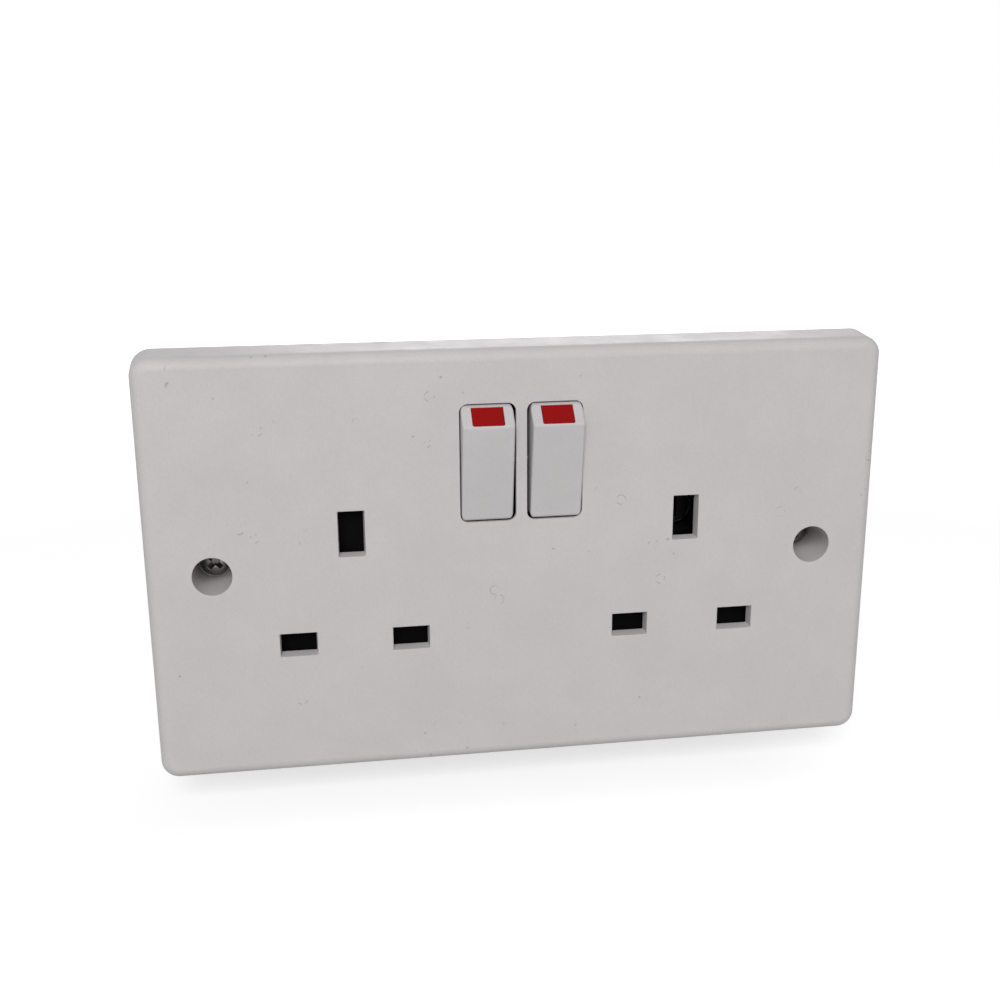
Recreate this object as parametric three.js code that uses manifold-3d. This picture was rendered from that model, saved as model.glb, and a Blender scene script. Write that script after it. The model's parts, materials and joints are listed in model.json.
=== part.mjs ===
// A wall safe that looks like a double socket outlet. A box sits in the wall, and the socket plate
// is its door: it is hinged along the bottom and locked by a cam that a key turns through an earth slot.
//
// X runs along the plate, Y goes into the wall and Z is up. The origin is on the face of the wall,
// behind the middle of the plate. All sizes are in millimetres.

import * as THREE from "three";
import { mergeVertices } from "three/addons/utils/BufferGeometryUtils.js";
import Module from "manifold-3d";

const wasm = await Module();
wasm.setup();

// Clearances
const GAP = 0.3; // between two fixed pieces that meet
const MOVING_GAP = 0.4; // beside a piece that moves
const PAST = 1; // how far a cut runs past the face that it opens

// Socket plate
const PLATE_WIDTH = 147;
const PLATE_HEIGHT = 86;
const PLATE_DEPTH = 9;
const PLATE_WALL = 2.8;
const RIM_WALL = 2;
const PLATE_DRAFT = 0.8;
const PLATE_CORNER_RADIUS = 4.2;
const FRONT_EDGE_RADIUS = 2.4;

// Slots of each socket, from the end and the middle height of the plate
const SOCKET_FROM_END = 40.1;
const EARTH_SLOT_WIDTH = 5.2;
const EARTH_SLOT_HEIGHT = 9.2;
const EARTH_SLOT_Z = 7.15;
const SIDE_SLOT_WIDTH = 7.3;
const SIDE_SLOT_HEIGHT = 4.8;
const SIDE_SLOT_OFFSET = 11.1;
const SIDE_SLOT_Z = -15.05;
const SLOT_DEPTH = 4.6;

// Face screws and the bosses that they sit in
const FACE_SCREW_INSET = 13.2;
const FACE_HOLE_RADIUS = 3.8;
const BOSS_WALL = 1;
const BOSS_FLOOR = 1.2;
const SCREW_HEAD_DEPTH = 9.5;
const SCREW_HEAD_THICKNESS = 2;
const SCREW_HEAD_RADIUS = 3.1;
const SCREW_SHANK_RADIUS = 1.5;

// Rocker switches
const ROCKER_OFFSET = 6.6;
const RECESS_WIDTH = 11;
const RECESS_HEIGHT = 23.55;
const RECESS_FROM_TOP = 11.15;
const RECESS_CORNER_RADIUS = 1.6;
const RECESS_LIP = 1;
const ROCKER_SIDE_GAP = 0.35;
const ROCKER_SWEEP_GAP = 0.18;
const ROCKER_RIDGE_HEIGHT = 3.5;
const ROCKER_RIDGE_FROM_TOP = 3.85;
const PIVOT_DEPTH = 3.8;
const ROCKER_BODY_DEPTH = 2.2;
const ROCKER_PIN_RADIUS = 0.6;
const KEEL_WIDTH = 3;
const KEEL_DEPTH = 1.4;
const INDICATOR_WIDTH = 6.3;
const INDICATOR_THICKNESS = 0.8;
const INDICATOR_EDGE = 0.25;
const INDICATOR_GAP = 0.1;

// Carrier that holds the rockers
const CARRIER_WALL = 1;
const CARRIER_SIDE_WALL = 2;
const CARRIER_FLOOR = 1.4;
const CARRIER_DEPTH = 7.8;
const CARRIER_FLANGE = 1.6;
const CARRIER_FLANGE_THICKNESS = 1.7;
const SPRING_WIDTH = 6;
const SPRING_THICKNESS = 0.4;
const SPRING_LENGTH = 16;

// Hinge along the bottom of the plate
const HINGE_DEPTH = 4; // from the face of the wall to the hinge axis
const HINGE_PIN_RADIUS = 0.8;
const KNUCKLE_RADIUS = 1.9;
const LUG_WIDTH = 6;
const EAR_WIDTH = 3;
const LUG_FROM_END = 23.5;
const ROLL_GAP = 0.1; // between the rolled edge of the plate and the wall
const SWEEP_GAP = 0.7; // between the rolled edge and the box

// Box in the wall
const BOX_DEPTH = 45;
const BOX_WALL = 2;
const BOX_CORNER_RADIUS = 3.5;
const FLANGE_THICKNESS = 1.5;
const FLANGE_GAP = 0.6;
const FLANGE_SIDE_LAP = 1.9;
const FLANGE_TOP_LAP = 5.2;
const FIXING_HOLE_RADIUS = 2.5;
const FIXING_HOLE_INSET = 29;

// Cover over the back of the plate
const COVER_THICKNESS = 1.8;
const COVER_BACK = 0.1; // how far its back stays in front of the face of the wall
const COVER_EDGE_GAP = 0.5;
const COVER_CORNER_RADIUS = 3;
const COVER_SCREW_INSET_X = 12;
const COVER_SCREW_INSET_Z = 6;
const COVER_SCREW_RADIUS = 0.9;
const COVER_SCREW_HEAD_RADIUS = 2.4;
const COVER_SCREW_HEAD_THICKNESS = 1.5;
const COVER_SCREW_LENGTH = 5.2;
const POST_RADIUS = 2.8;
const BACKING_THICKNESS = 2.2;
const BACKING_EDGE = 3.75;

// Lock
const LOCK_HEAD_RADIUS = 6;
const LOCK_HEAD_THICKNESS = 1.5;
const LOCK_BARREL_RADIUS = 5;
const LOCK_LENGTH = 14;
const PLUG_RADIUS = 3;
const PLUG_HEAD_RADIUS = 3.7;
const PLUG_HEAD_THICKNESS = 1;
const PLUG_FACE_DEPTH = 8.7;
const KEYWAY_WIDTH = 1.3;
const KEYWAY_LENGTH = 4.6;
const KEYWAY_DEPTH = 4;
const NUT_FLAT = 14;
const NUT_THICKNESS = 3;
const CAM_THICKNESS = 1.5;
const CAM_WIDTH = 9;
const CAM_TIP_WIDTH = 6;
const CAM_TIP_GAP = 0.85;
const TANG_SIZE = 4.2;
const CAM_SCREW_RADIUS = 1.1;
const CAM_SCREW_HEAD_RADIUS = 3.4;
const CAM_SCREW_HEAD_THICKNESS = 1.5;
const CAM_SCREW_LENGTH = 6;

// Keeper that the cam turns behind
const KEEPER_THICKNESS = 1.2;
const KEEPER_WIDTH = 18;
const KEEPER_LENGTH = 10.4;
const KEEPER_LIP = 3.9;
const RIVET_RADIUS = 1.2;
const RIVET_HEAD_RADIUS = 2.2;
const RIVET_HEAD_THICKNESS = 0.8;
const RIVET_SPACING = 12;

// Places that follow from the sizes
const plateFront = -PLATE_DEPTH;
const plateBack = plateFront + PLATE_WALL;
const plateBottom = -PLATE_HEIGHT / 2;
const draftSlope = PLATE_DRAFT / PLATE_DEPTH;
const rollRadius = HINGE_DEPTH - ROLL_GAP;
const hingeZ = plateBottom + rollRadius;
const lugX = PLATE_WIDTH / 2 - LUG_FROM_END;
const flangeHalfWidth = PLATE_WIDTH / 2 - RIM_WALL - FLANGE_GAP;
const flangeTop = PLATE_HEIGHT / 2 - RIM_WALL - FLANGE_GAP;
const boxHalfWidth = flangeHalfWidth - FLANGE_SIDE_LAP;
const boxTop = flangeTop - FLANGE_TOP_LAP;
const boxBottom = hingeZ + Math.sqrt((rollRadius + SWEEP_GAP) ** 2 - (HINGE_DEPTH - FLANGE_THICKNESS) ** 2);
const boxInnerHalfWidth = boxHalfWidth - BOX_WALL;
const boxInnerTop = boxTop - BOX_WALL;
const boxInnerBottom = boxBottom + BOX_WALL;
const fixingHoleX = boxHalfWidth - FIXING_HOLE_INSET;
const coverBack = -COVER_BACK;
const coverFront = coverBack - COVER_THICKNESS;
const coverHalfWidth = boxInnerHalfWidth - COVER_EDGE_GAP;
const coverTop = boxInnerTop - COVER_EDGE_GAP;
const coverBottom = boxInnerBottom + COVER_EDGE_GAP;
const faceScrewX = PLATE_WIDTH / 2 - FACE_SCREW_INSET;
const bossRadius = FACE_HOLE_RADIUS + BOSS_WALL;
const screwHeadFront = plateFront + SCREW_HEAD_DEPTH;
const screwHeadBack = screwHeadFront + SCREW_HEAD_THICKNESS;
const bossBack = screwHeadBack + GAP + BOSS_FLOOR;
const pivotY = plateFront + PIVOT_DEPTH;
const pivotZ = PLATE_HEIGHT / 2 - RECESS_FROM_TOP - RECESS_HEIGHT / 2;
const lipReach = Math.hypot(RECESS_HEIGHT / 2, PIVOT_DEPTH - RECESS_LIP);
const rockerEndRadius = lipReach - ROCKER_SWEEP_GAP;
const pocketRadius = rockerEndRadius + GAP;
const carrierRadius = pocketRadius + CARRIER_WALL;
const carrierHalfWidth = ROCKER_OFFSET + RECESS_WIDTH / 2 + CARRIER_SIDE_WALL;
const carrierFront = plateBack + GAP;
const carrierBack = pivotY + CARRIER_DEPTH;
const pocketFloor = carrierBack - CARRIER_FLOOR;
const webHalfWidth = ROCKER_OFFSET - RECESS_WIDTH / 2;
const socketX = PLATE_WIDTH / 2 - SOCKET_FROM_END;
const lockX = socketX;
const lockZ = EARTH_SLOT_Z;
const lockFront = coverFront - GAP - LOCK_HEAD_THICKNESS;
const lockBack = coverBack + LOCK_LENGTH - COVER_THICKNESS;
const plugFace = plateFront + PLUG_FACE_DEPTH;
const camFront = lockBack + MOVING_GAP;
const camBack = camFront + CAM_THICKNESS;
const camLength = boxInnerTop - CAM_TIP_GAP - lockZ;
const keeperBack = camFront - GAP;
const keeperTop = boxInnerTop - GAP;
const FINE = 28;
const ROUND = 20;
const SMALL = 12;

// Looks
const white = { color: 0xd9d8d8, roughness: 0.32, metalness: 0 };
const dullWhite = { color: 0xcfcfcd, roughness: 0.55, metalness: 0 };
const black = { color: 0x0c0b0b, roughness: 0.6, metalness: 0 };
const red = { color: 0xa5141a, roughness: 0.35, metalness: 0 };
const nickel = { color: 0xa9a8a4, roughness: 0.3, metalness: 0.9 };
const steel = { color: 0x8f9092, roughness: 0.42, metalness: 0.85 };
const darkZinc = { color: 0x2b2a2a, roughness: 0.45, metalness: 0.6 };

// Solids and booleans
function solidFrom(geometry) {
  const bare = geometry.clone();
  bare.deleteAttribute("normal");
  bare.deleteAttribute("uv");
  const merged = mergeVertices(bare, 1e-4);
  return new wasm.Manifold(
    new wasm.Mesh({
      numProp: 3,
      vertProperties: new Float32Array(merged.attributes.position.array),
      triVerts: new Uint32Array(merged.index.array),
    }),
  );
}

function geometryFrom(solid) {
  const mesh = solid.getMesh();
  const indexed = new THREE.BufferGeometry();
  indexed.setAttribute("position", new THREE.BufferAttribute(new Float32Array(mesh.vertProperties), 3));
  indexed.setIndex(new THREE.BufferAttribute(new Uint32Array(mesh.triVerts), 1));
  const geometry = indexed.toNonIndexed();
  geometry.computeVertexNormals();
  return geometry;
}

function join(first, ...others) {
  return others.reduce((whole, piece) => whole.add(piece), first);
}

function cut(first, ...others) {
  return others.reduce((whole, piece) => whole.subtract(piece), first);
}

// A block between two corners
function block([x0, y0, z0], [x1, y1, z1]) {
  const geometry = new THREE.BoxGeometry(x1 - x0, y1 - y0, z1 - z0);
  geometry.translate((x0 + x1) / 2, (y0 + y1) / 2, (z0 + z1) / 2);
  return solidFrom(geometry);
}

// Round bars along each axis
function rodX(radius, x0, x1, y = 0, z = 0, sides = SMALL) {
  const geometry = new THREE.CylinderGeometry(radius, radius, x1 - x0, sides);
  geometry.rotateZ(Math.PI / 2);
  geometry.translate((x0 + x1) / 2, y, z);
  return solidFrom(geometry);
}

function rodY(radius, y0, y1, x = 0, z = 0, sides = ROUND) {
  const geometry = new THREE.CylinderGeometry(radius, radius, y1 - y0, sides);
  geometry.translate(x, (y0 + y1) / 2, z);
  return solidFrom(geometry);
}

function rodZ(radius, z0, z1, x = 0, y = 0, sides = ROUND) {
  const geometry = new THREE.CylinderGeometry(radius, radius, z1 - z0, sides);
  geometry.rotateX(Math.PI / 2);
  geometry.translate(x, y, (z0 + z1) / 2);
  return solidFrom(geometry);
}

// A slab between y0 and y1 whose outline is drawn in X and Z
function slabY(outline, y0, y1) {
  const geometry = new THREE.ExtrudeGeometry(outline, { depth: y1 - y0, bevelEnabled: false, curveSegments: 5 });
  geometry.rotateX(Math.PI / 2);
  geometry.translate(0, y1, 0);
  return solidFrom(geometry);
}

// A slab between x0 and x1 whose outline is a list of points in Y and Z
function slabX(points, x0, x1) {
  const outline = new THREE.Shape(points.map(([y, z]) => new THREE.Vector2(y, z)));
  const geometry = new THREE.ExtrudeGeometry(outline, { depth: x1 - x0, bevelEnabled: false });
  geometry.rotateX(Math.PI / 2);
  geometry.rotateZ(Math.PI / 2);
  geometry.translate(x0, 0, 0);
  return solidFrom(geometry);
}

// A rectangle with round corners, as an outline in X and Z
function roundedOutline(left, right, bottom, top, radius) {
  const outline = new THREE.Shape();
  outline.moveTo(left + radius, bottom);
  outline.lineTo(right - radius, bottom);
  outline.absarc(right - radius, bottom + radius, radius, -Math.PI / 2, 0);
  outline.lineTo(right, top - radius);
  outline.absarc(right - radius, top - radius, radius, 0, Math.PI / 2);
  outline.lineTo(left + radius, top);
  outline.absarc(left + radius, top - radius, radius, Math.PI / 2, Math.PI);
  outline.lineTo(left, bottom + radius);
  outline.absarc(left + radius, bottom + radius, radius, Math.PI, Math.PI * 1.5);
  return outline;
}

// A closed skin over a row of rounded rectangles, each given by its y and by how far it is drawn in
function loftPlate(sections, inset, cornerSteps = 6) {
  const positions = [];
  const ring = (section) => {
    const radius = Math.max(PLATE_CORNER_RADIUS - inset - section.drawnIn, 0.5);
    const halfWidth = PLATE_WIDTH / 2 - inset - section.drawnIn - radius;
    const halfHeight = PLATE_HEIGHT / 2 - inset - section.drawnIn - radius;
    const corners = [[1, -1], [1, 1], [-1, 1], [-1, -1]];
    return corners.flatMap(([sideX, sideZ], corner) =>
      Array.from({ length: cornerSteps + 1 }, (_, step) => {
        const angle = ((corner - 1 + step / cornerSteps) * Math.PI) / 2;
        const x = sideX * halfWidth + radius * Math.cos(angle);
        const z = sideZ * halfHeight + radius * Math.sin(angle);
        return new THREE.Vector3(x, section.y, z);
      }),
    );
  };
  const addTriangle = (a, b, c) => positions.push(...a, ...b, ...c);
  const rings = sections.map(ring);
  const count = rings[0].length;
  for (let i = 0; i < count; i += 1) {
    const next = (i + 1) % count;
    for (let level = 0; level + 1 < rings.length; level += 1) {
      addTriangle(rings[level][i], rings[level][next], rings[level + 1][i]);
      addTriangle(rings[level][next], rings[level + 1][next], rings[level + 1][i]);
    }
    if (i > 0 && next > 0) {
      addTriangle(rings[0][0], rings[0][next], rings[0][i]);
      addTriangle(rings.at(-1)[0], rings.at(-1)[i], rings.at(-1)[next]);
    }
  }
  const geometry = new THREE.BufferGeometry();
  geometry.setAttribute("position", new THREE.Float32BufferAttribute(positions, 3));
  return solidFrom(geometry);
}

const root = new THREE.Group();
const front = new THREE.Group();
const lock = new THREE.Group();
root.add(front);
front.add(lock);

function addPiece(parent, name, solid, look, [x, y, z] = [0, 0, 0]) {
  const mesh = new THREE.Mesh(geometryFrom(solid), new THREE.MeshStandardMaterial(look));
  mesh.name = name;
  mesh.position.set(x, y, z);
  parent.add(mesh);
  return mesh;
}

const SIDES = [
  { name: "left", side: -1 },
  { name: "right", side: 1 },
];

// The socket plate
function plateShell() {
  const edgeStart = PLATE_DEPTH - FRONT_EDGE_RADIUS;
  const outer = [
    { y: 0, drawnIn: 0 },
    { y: -edgeStart, drawnIn: draftSlope * edgeStart },
  ];
  const edgeSteps = 5;
  for (let step = 1; step <= edgeSteps; step += 1) {
    const angle = (step / edgeSteps) * (Math.PI / 2);
    outer.push({
      y: -edgeStart - FRONT_EDGE_RADIUS * Math.sin(angle),
      drawnIn: draftSlope * edgeStart + FRONT_EDGE_RADIUS * (1 - Math.cos(angle)),
    });
  }
  const hollow = [
    { y: PAST, drawnIn: -draftSlope * PAST },
    { y: plateBack, drawnIn: -draftSlope * plateBack },
  ];
  return cut(loftPlate(outer, 0), loftPlate(hollow, RIM_WALL));
}

function slotCut(x, z, width, height) {
  return block(
    [x - width / 2, plateFront - PAST, z - height / 2],
    [x + width / 2, plateBack + PAST, z + height / 2],
  );
}

function socketSlots(side) {
  const x = side * socketX;
  return [
    slotCut(x, EARTH_SLOT_Z, EARTH_SLOT_WIDTH, EARTH_SLOT_HEIGHT),
    slotCut(x - SIDE_SLOT_OFFSET, SIDE_SLOT_Z, SIDE_SLOT_WIDTH, SIDE_SLOT_HEIGHT),
    slotCut(x + SIDE_SLOT_OFFSET, SIDE_SLOT_Z, SIDE_SLOT_WIDTH, SIDE_SLOT_HEIGHT),
  ];
}

// The opening for one rocker, with a thin lip at the front and more room behind it
function rockerRecess(side) {
  const x = side * ROCKER_OFFSET;
  const half = RECESS_WIDTH / 2;
  const opening = roundedOutline(
    x - half,
    x + half,
    pivotZ - RECESS_HEIGHT / 2,
    pivotZ + RECESS_HEIGHT / 2,
    RECESS_CORNER_RADIUS,
  );
  const relief = block(
    [x - half, plateFront + RECESS_LIP, pivotZ - pocketRadius],
    [x + half, plateBack + PAST, pivotZ + pocketRadius],
  );
  return join(slabY(opening, plateFront - PAST, plateBack + PAST), relief);
}

const pinHoleRadius = HINGE_PIN_RADIUS + GAP;
const lugHalf = LUG_WIDTH / 2;
const earInner = lugHalf + MOVING_GAP;
const earOuter = earInner + EAR_WIDTH;

// The two ears beside one lug of the box, and the notch that the lug needs in the rim
function hingeEars(side) {
  const x = side * lugX;
  const web = block(
    [x - earOuter, plateBack - GAP, plateBottom + RIM_WALL / 2],
    [x + earOuter, -HINGE_DEPTH, hingeZ + KNUCKLE_RADIUS],
  );
  return join(rodX(KNUCKLE_RADIUS, x - earOuter, x + earOuter, -HINGE_DEPTH, hingeZ, FINE), web);
}

function hingeNotch(side) {
  const x = side * lugX;
  return join(
    block([x - earInner, plateBack, plateBottom - PAST], [x + earInner, PAST, hingeZ + KNUCKLE_RADIUS + PAST]),
    rodX(pinHoleRadius, x - earOuter - PAST, x + earOuter + PAST, -HINGE_DEPTH, hingeZ),
  );
}

// What is cut off the back of the bottom edge, so that it can roll past the wall
function edgeRoll() {
  const reach = PLATE_WIDTH / 2 + PAST;
  const corner = block([-reach, -HINGE_DEPTH, plateBottom - PAST], [reach, PAST, hingeZ]);
  return cut(corner, rodX(rollRadius, -reach - PAST, reach + PAST, -HINGE_DEPTH, hingeZ, 48));
}

const coverScrewX = coverHalfWidth - COVER_SCREW_INSET_X;
const coverScrewPlaces = [
  { name: "upper_left", x: -coverScrewX, z: coverTop - COVER_SCREW_INSET_Z },
  { name: "upper_right", x: coverScrewX, z: coverTop - COVER_SCREW_INSET_Z },
  { name: "lower_left", x: -coverScrewX, z: coverBottom + COVER_SCREW_INSET_Z },
  { name: "lower_right", x: coverScrewX, z: coverBottom + COVER_SCREW_INSET_Z },
];

function faceplate() {
  let plate = plateShell();
  for (const { side } of SIDES) {
    plate = join(plate, rodY(bossRadius, plateBack - GAP, bossBack, side * faceScrewX), hingeEars(side));
  }
  for (const { x, z } of coverScrewPlaces) {
    plate = join(plate, rodY(POST_RADIUS, plateBack - GAP, coverFront - GAP, x, z));
    plate = cut(plate, rodY(COVER_SCREW_RADIUS + GAP, plateBack + GAP, PAST, x, z, SMALL));
  }
  for (const { side } of SIDES) {
    plate = cut(
      plate,
      ...socketSlots(side),
      rockerRecess(side),
      hingeNotch(side),
      rodY(FACE_HOLE_RADIUS, plateFront - PAST, screwHeadBack + GAP, side * faceScrewX, 0, FINE),
      rodY(SCREW_SHANK_RADIUS + GAP, screwHeadBack, bossBack + PAST, side * faceScrewX),
    );
  }
  return cut(plate, edgeRoll());
}

// A screw with its head's face at y = 0 and its shank along +Y; the head has a cross recess
function crossScrew(headRadius, headThickness, shankRadius, length) {
  const bladeHalf = headRadius * 0.6;
  const bladeThick = headRadius * 0.12;
  const head = rodY(headRadius, 0, headThickness, 0, 0, FINE);
  const shank = rodY(shankRadius, headThickness / 2, length);
  return cut(
    join(head, shank),
    block([-bladeHalf, -PAST, -bladeThick], [bladeHalf, headThickness / 2, bladeThick]),
    block([-bladeThick, -PAST, -bladeHalf], [bladeThick, headThickness / 2, bladeHalf]),
  );
}

// The cover that closes the back of the plate
function innerCover() {
  const outline = roundedOutline(-coverHalfWidth, coverHalfWidth, coverBottom, coverTop, COVER_CORNER_RADIUS);
  const windowHalf = carrierHalfWidth + GAP;
  const holes = coverScrewPlaces.map(({ x, z }) =>
    rodY(COVER_SCREW_RADIUS + MOVING_GAP, coverFront - PAST, coverBack + PAST, x, z, SMALL),
  );
  for (const { side } of SIDES) {
    holes.push(rodY(bossRadius + GAP, coverFront - PAST, coverBack + PAST, side * faceScrewX, 0, FINE));
  }
  holes.push(rodY(LOCK_BARREL_RADIUS + GAP, coverFront - PAST, coverBack + PAST, lockX, lockZ, FINE));
  holes.push(
    block(
      [-windowHalf, coverFront - PAST, pivotZ - carrierRadius - GAP],
      [windowHalf, coverBack + PAST, coverTop + PAST],
    ),
  );
  return cut(slabY(outline, coverFront, coverBack), ...holes);
}

// The dark plate behind the slots of one socket
function slotBacking(side) {
  const inner = side * (carrierHalfWidth + CARRIER_FLANGE + MOVING_GAP);
  const outer = side * (socketX + SIDE_SLOT_OFFSET + SIDE_SLOT_WIDTH / 2 + BACKING_EDGE);
  const bottom = SIDE_SLOT_Z - SIDE_SLOT_HEIGHT / 2 - BACKING_EDGE;
  const top = EARTH_SLOT_Z + EARTH_SLOT_HEIGHT / 2 + BACKING_EDGE;
  const backing = block(
    [Math.min(inner, outer), plateFront + SLOT_DEPTH, bottom],
    [Math.max(inner, outer), plateFront + SLOT_DEPTH + BACKING_THICKNESS, top],
  );
  const lockHole = rodY(LOCK_HEAD_RADIUS + GAP, plateFront, PAST, lockX, lockZ, FINE);
  return side > 0 ? cut(backing, lockHole) : backing;
}

// The carrier: two round-bottomed pockets, with open cradles for the rockers' pins
function switchCarrier() {
  const pod = rodX(carrierRadius, -carrierHalfWidth, carrierHalfWidth, pivotY, pivotZ, 40);
  const depthBand = (y0, y1, reach) =>
    block([-reach, y0, pivotZ - 2 * carrierRadius], [reach, y1, pivotZ + 2 * carrierRadius]);
  const flange = block(
    [-carrierHalfWidth - CARRIER_FLANGE, coverFront - GAP - CARRIER_FLANGE_THICKNESS, pivotZ - carrierRadius],
    [carrierHalfWidth + CARRIER_FLANGE, coverFront - GAP, pivotZ + carrierRadius],
  );
  let carrier = join(pod.intersect(depthBand(carrierFront, carrierBack, carrierHalfWidth + PAST)), flange);
  const cradleRadius = ROCKER_PIN_RADIUS + GAP;
  for (const { side } of SIDES) {
    const ends = [side * webHalfWidth, side * (webHalfWidth + RECESS_WIDTH)];
    const pocket = rodX(pocketRadius, Math.min(...ends), Math.max(...ends), pivotY, pivotZ, 40);
    carrier = cut(carrier, pocket.intersect(depthBand(carrierFront - PAST, pocketFloor, 2 * carrierHalfWidth)));
  }
  return cut(
    carrier,
    rodX(cradleRadius, -carrierHalfWidth - PAST, carrierHalfWidth + PAST, pivotY, pivotZ),
    block(
      [-carrierHalfWidth - PAST, carrierFront - PAST, pivotZ - cradleRadius],
      [carrierHalfWidth + PAST, pivotY, pivotZ + cradleRadius],
    ),
  );
}

// The bent strip that clicks the rocker over; y = 0 is the face it lies on, and it bends towards -Y
function detentSpring() {
  const half = SPRING_LENGTH / 2;
  const crest = -(pocketFloor - GAP - pivotY - ROCKER_BODY_DEPTH - KEEL_DEPTH - MOVING_GAP);
  const middle = [
    [0, -half],
    [0, -half * 0.75],
    [crest + SPRING_THICKNESS, -half * 0.15],
    [crest + SPRING_THICKNESS, half * 0.15],
    [0, half * 0.75],
    [0, half],
  ];
  const above = middle.map(([y, z]) => [y - SPRING_THICKNESS, z]);
  return slabX([...middle, ...above.reverse()], -SPRING_WIDTH / 2, SPRING_WIDTH / 2);
}

// The rocker, about its pivot: its front slopes out to a ridge, and its ends are round about the pivot
const rockerHalfWidth = RECESS_WIDTH / 2 - ROCKER_SIDE_GAP;
const rockerEndHeight = Math.sqrt(rockerEndRadius ** 2 - PIVOT_DEPTH ** 2);
const ridge = new THREE.Vector2(
  -PIVOT_DEPTH - ROCKER_RIDGE_HEIGHT,
  RECESS_HEIGHT / 2 - ROCKER_RIDGE_FROM_TOP,
);
const facetEnd = new THREE.Vector2(-PIVOT_DEPTH, rockerEndHeight);

// A point on the upper facet, a distance along it from the ridge and a depth below it
function onFacet(along, depth) {
  const direction = facetEnd.clone().sub(ridge).normalize();
  const inward = new THREE.Vector2(direction.y, -direction.x);
  const point = ridge.clone().addScaledVector(direction, along).addScaledVector(inward, depth);
  return [point.x, point.y];
}

function indicatorSlab(edge, depth, halfWidth, proud) {
  const facetLength = facetEnd.distanceTo(ridge);
  const outline = [
    onFacet(edge, -proud),
    onFacet(facetLength - edge, -proud),
    onFacet(facetLength - edge, depth),
    onFacet(edge, depth),
  ];
  return slabX(outline, -halfWidth, halfWidth);
}

function rocker() {
  const corner = rockerEndRadius + PAST;
  const keelHalf = KEEL_WIDTH / 2;
  const profile = [
    [-PIVOT_DEPTH, -rockerEndHeight],
    [ridge.x, ridge.y],
    [facetEnd.x, facetEnd.y],
    [-PIVOT_DEPTH + RECESS_LIP, corner],
    [ROCKER_BODY_DEPTH, corner],
    [ROCKER_BODY_DEPTH, keelHalf],
    [ROCKER_BODY_DEPTH + KEEL_DEPTH, keelHalf / 2],
    [ROCKER_BODY_DEPTH + KEEL_DEPTH, -keelHalf / 2],
    [ROCKER_BODY_DEPTH, -keelHalf],
    [ROCKER_BODY_DEPTH, -corner],
    [-PIVOT_DEPTH + RECESS_LIP, -corner],
  ];
  const end = rockerEndRadius;
  const face = roundedOutline(-rockerHalfWidth, rockerHalfWidth, -end, end, RECESS_CORNER_RADIUS);
  const reach = ROCKER_RIDGE_HEIGHT + PIVOT_DEPTH + PAST;
  const sweep = rodX(rockerEndRadius, -RECESS_WIDTH, RECESS_WIDTH, 0, 0, 56);
  const body = slabX(profile, -rockerHalfWidth, rockerHalfWidth)
    .intersect(slabY(face, -reach, reach))
    .intersect(sweep);
  return cut(
    body,
    rodX(ROCKER_PIN_RADIUS + GAP, -RECESS_WIDTH, RECESS_WIDTH),
    indicatorSlab(INDICATOR_EDGE, INDICATOR_THICKNESS, INDICATOR_WIDTH / 2, PAST),
  );
}

function indicator() {
  const edge = INDICATOR_EDGE + INDICATOR_GAP;
  const depth = INDICATOR_THICKNESS - INDICATOR_GAP;
  return indicatorSlab(edge, depth, INDICATOR_WIDTH / 2 - INDICATOR_GAP, 0);
}

// The lock, about its own axis
function lockHousing() {
  const plugSeat = plugFace + PLUG_HEAD_THICKNESS + GAP;
  return cut(
    join(
      rodY(LOCK_HEAD_RADIUS, lockFront, lockFront + LOCK_HEAD_THICKNESS, 0, 0, FINE),
      rodY(LOCK_BARREL_RADIUS, lockFront, lockBack, 0, 0, FINE),
    ),
    rodY(PLUG_HEAD_RADIUS + GAP, lockFront - PAST, plugSeat, 0, 0, FINE),
    rodY(PLUG_RADIUS + GAP, lockFront, lockBack + PAST, 0, 0, FINE),
  );
}

function lockNut() {
  const nutFront = coverBack + GAP;
  return cut(
    rodY(NUT_FLAT / Math.sqrt(3), nutFront, nutFront + NUT_THICKNESS, 0, 0, 6),
    rodY(LOCK_BARREL_RADIUS + GAP, nutFront - PAST, nutFront + NUT_THICKNESS + PAST, 0, 0, FINE),
  );
}

const tangHalf = TANG_SIZE / 2;

function lockPlug() {
  return cut(
    join(
      rodY(PLUG_HEAD_RADIUS, plugFace, plugFace + PLUG_HEAD_THICKNESS, 0, 0, FINE),
      rodY(PLUG_RADIUS, plugFace, lockBack + GAP / 2, 0, 0, FINE),
      block([-tangHalf, lockBack, -tangHalf], [tangHalf, camBack, tangHalf]),
    ),
    block(
      [-KEYWAY_WIDTH / 2, plugFace - PAST, -KEYWAY_LENGTH / 2],
      [KEYWAY_WIDTH / 2, plugFace + KEYWAY_DEPTH, KEYWAY_LENGTH / 2],
    ),
    rodY(CAM_SCREW_RADIUS + GAP, camBack - CAM_SCREW_LENGTH, camBack + PAST, 0, 0, SMALL),
  );
}

// The cam, at rest pointing to -X and clear of the keeper
function lockCam() {
  const outline = new THREE.Shape();
  const tip = -camLength + CAM_TIP_WIDTH / 2;
  outline.absarc(0, 0, CAM_WIDTH / 2, -Math.PI / 2, Math.PI / 2);
  outline.absarc(tip, 0, CAM_TIP_WIDTH / 2, Math.PI / 2, Math.PI * 1.5);
  const hole = tangHalf + GAP;
  return cut(
    slabY(outline, camFront, camBack),
    block([-hole, camFront - PAST, -hole], [hole, camBack + PAST, hole]),
  );
}

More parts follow.
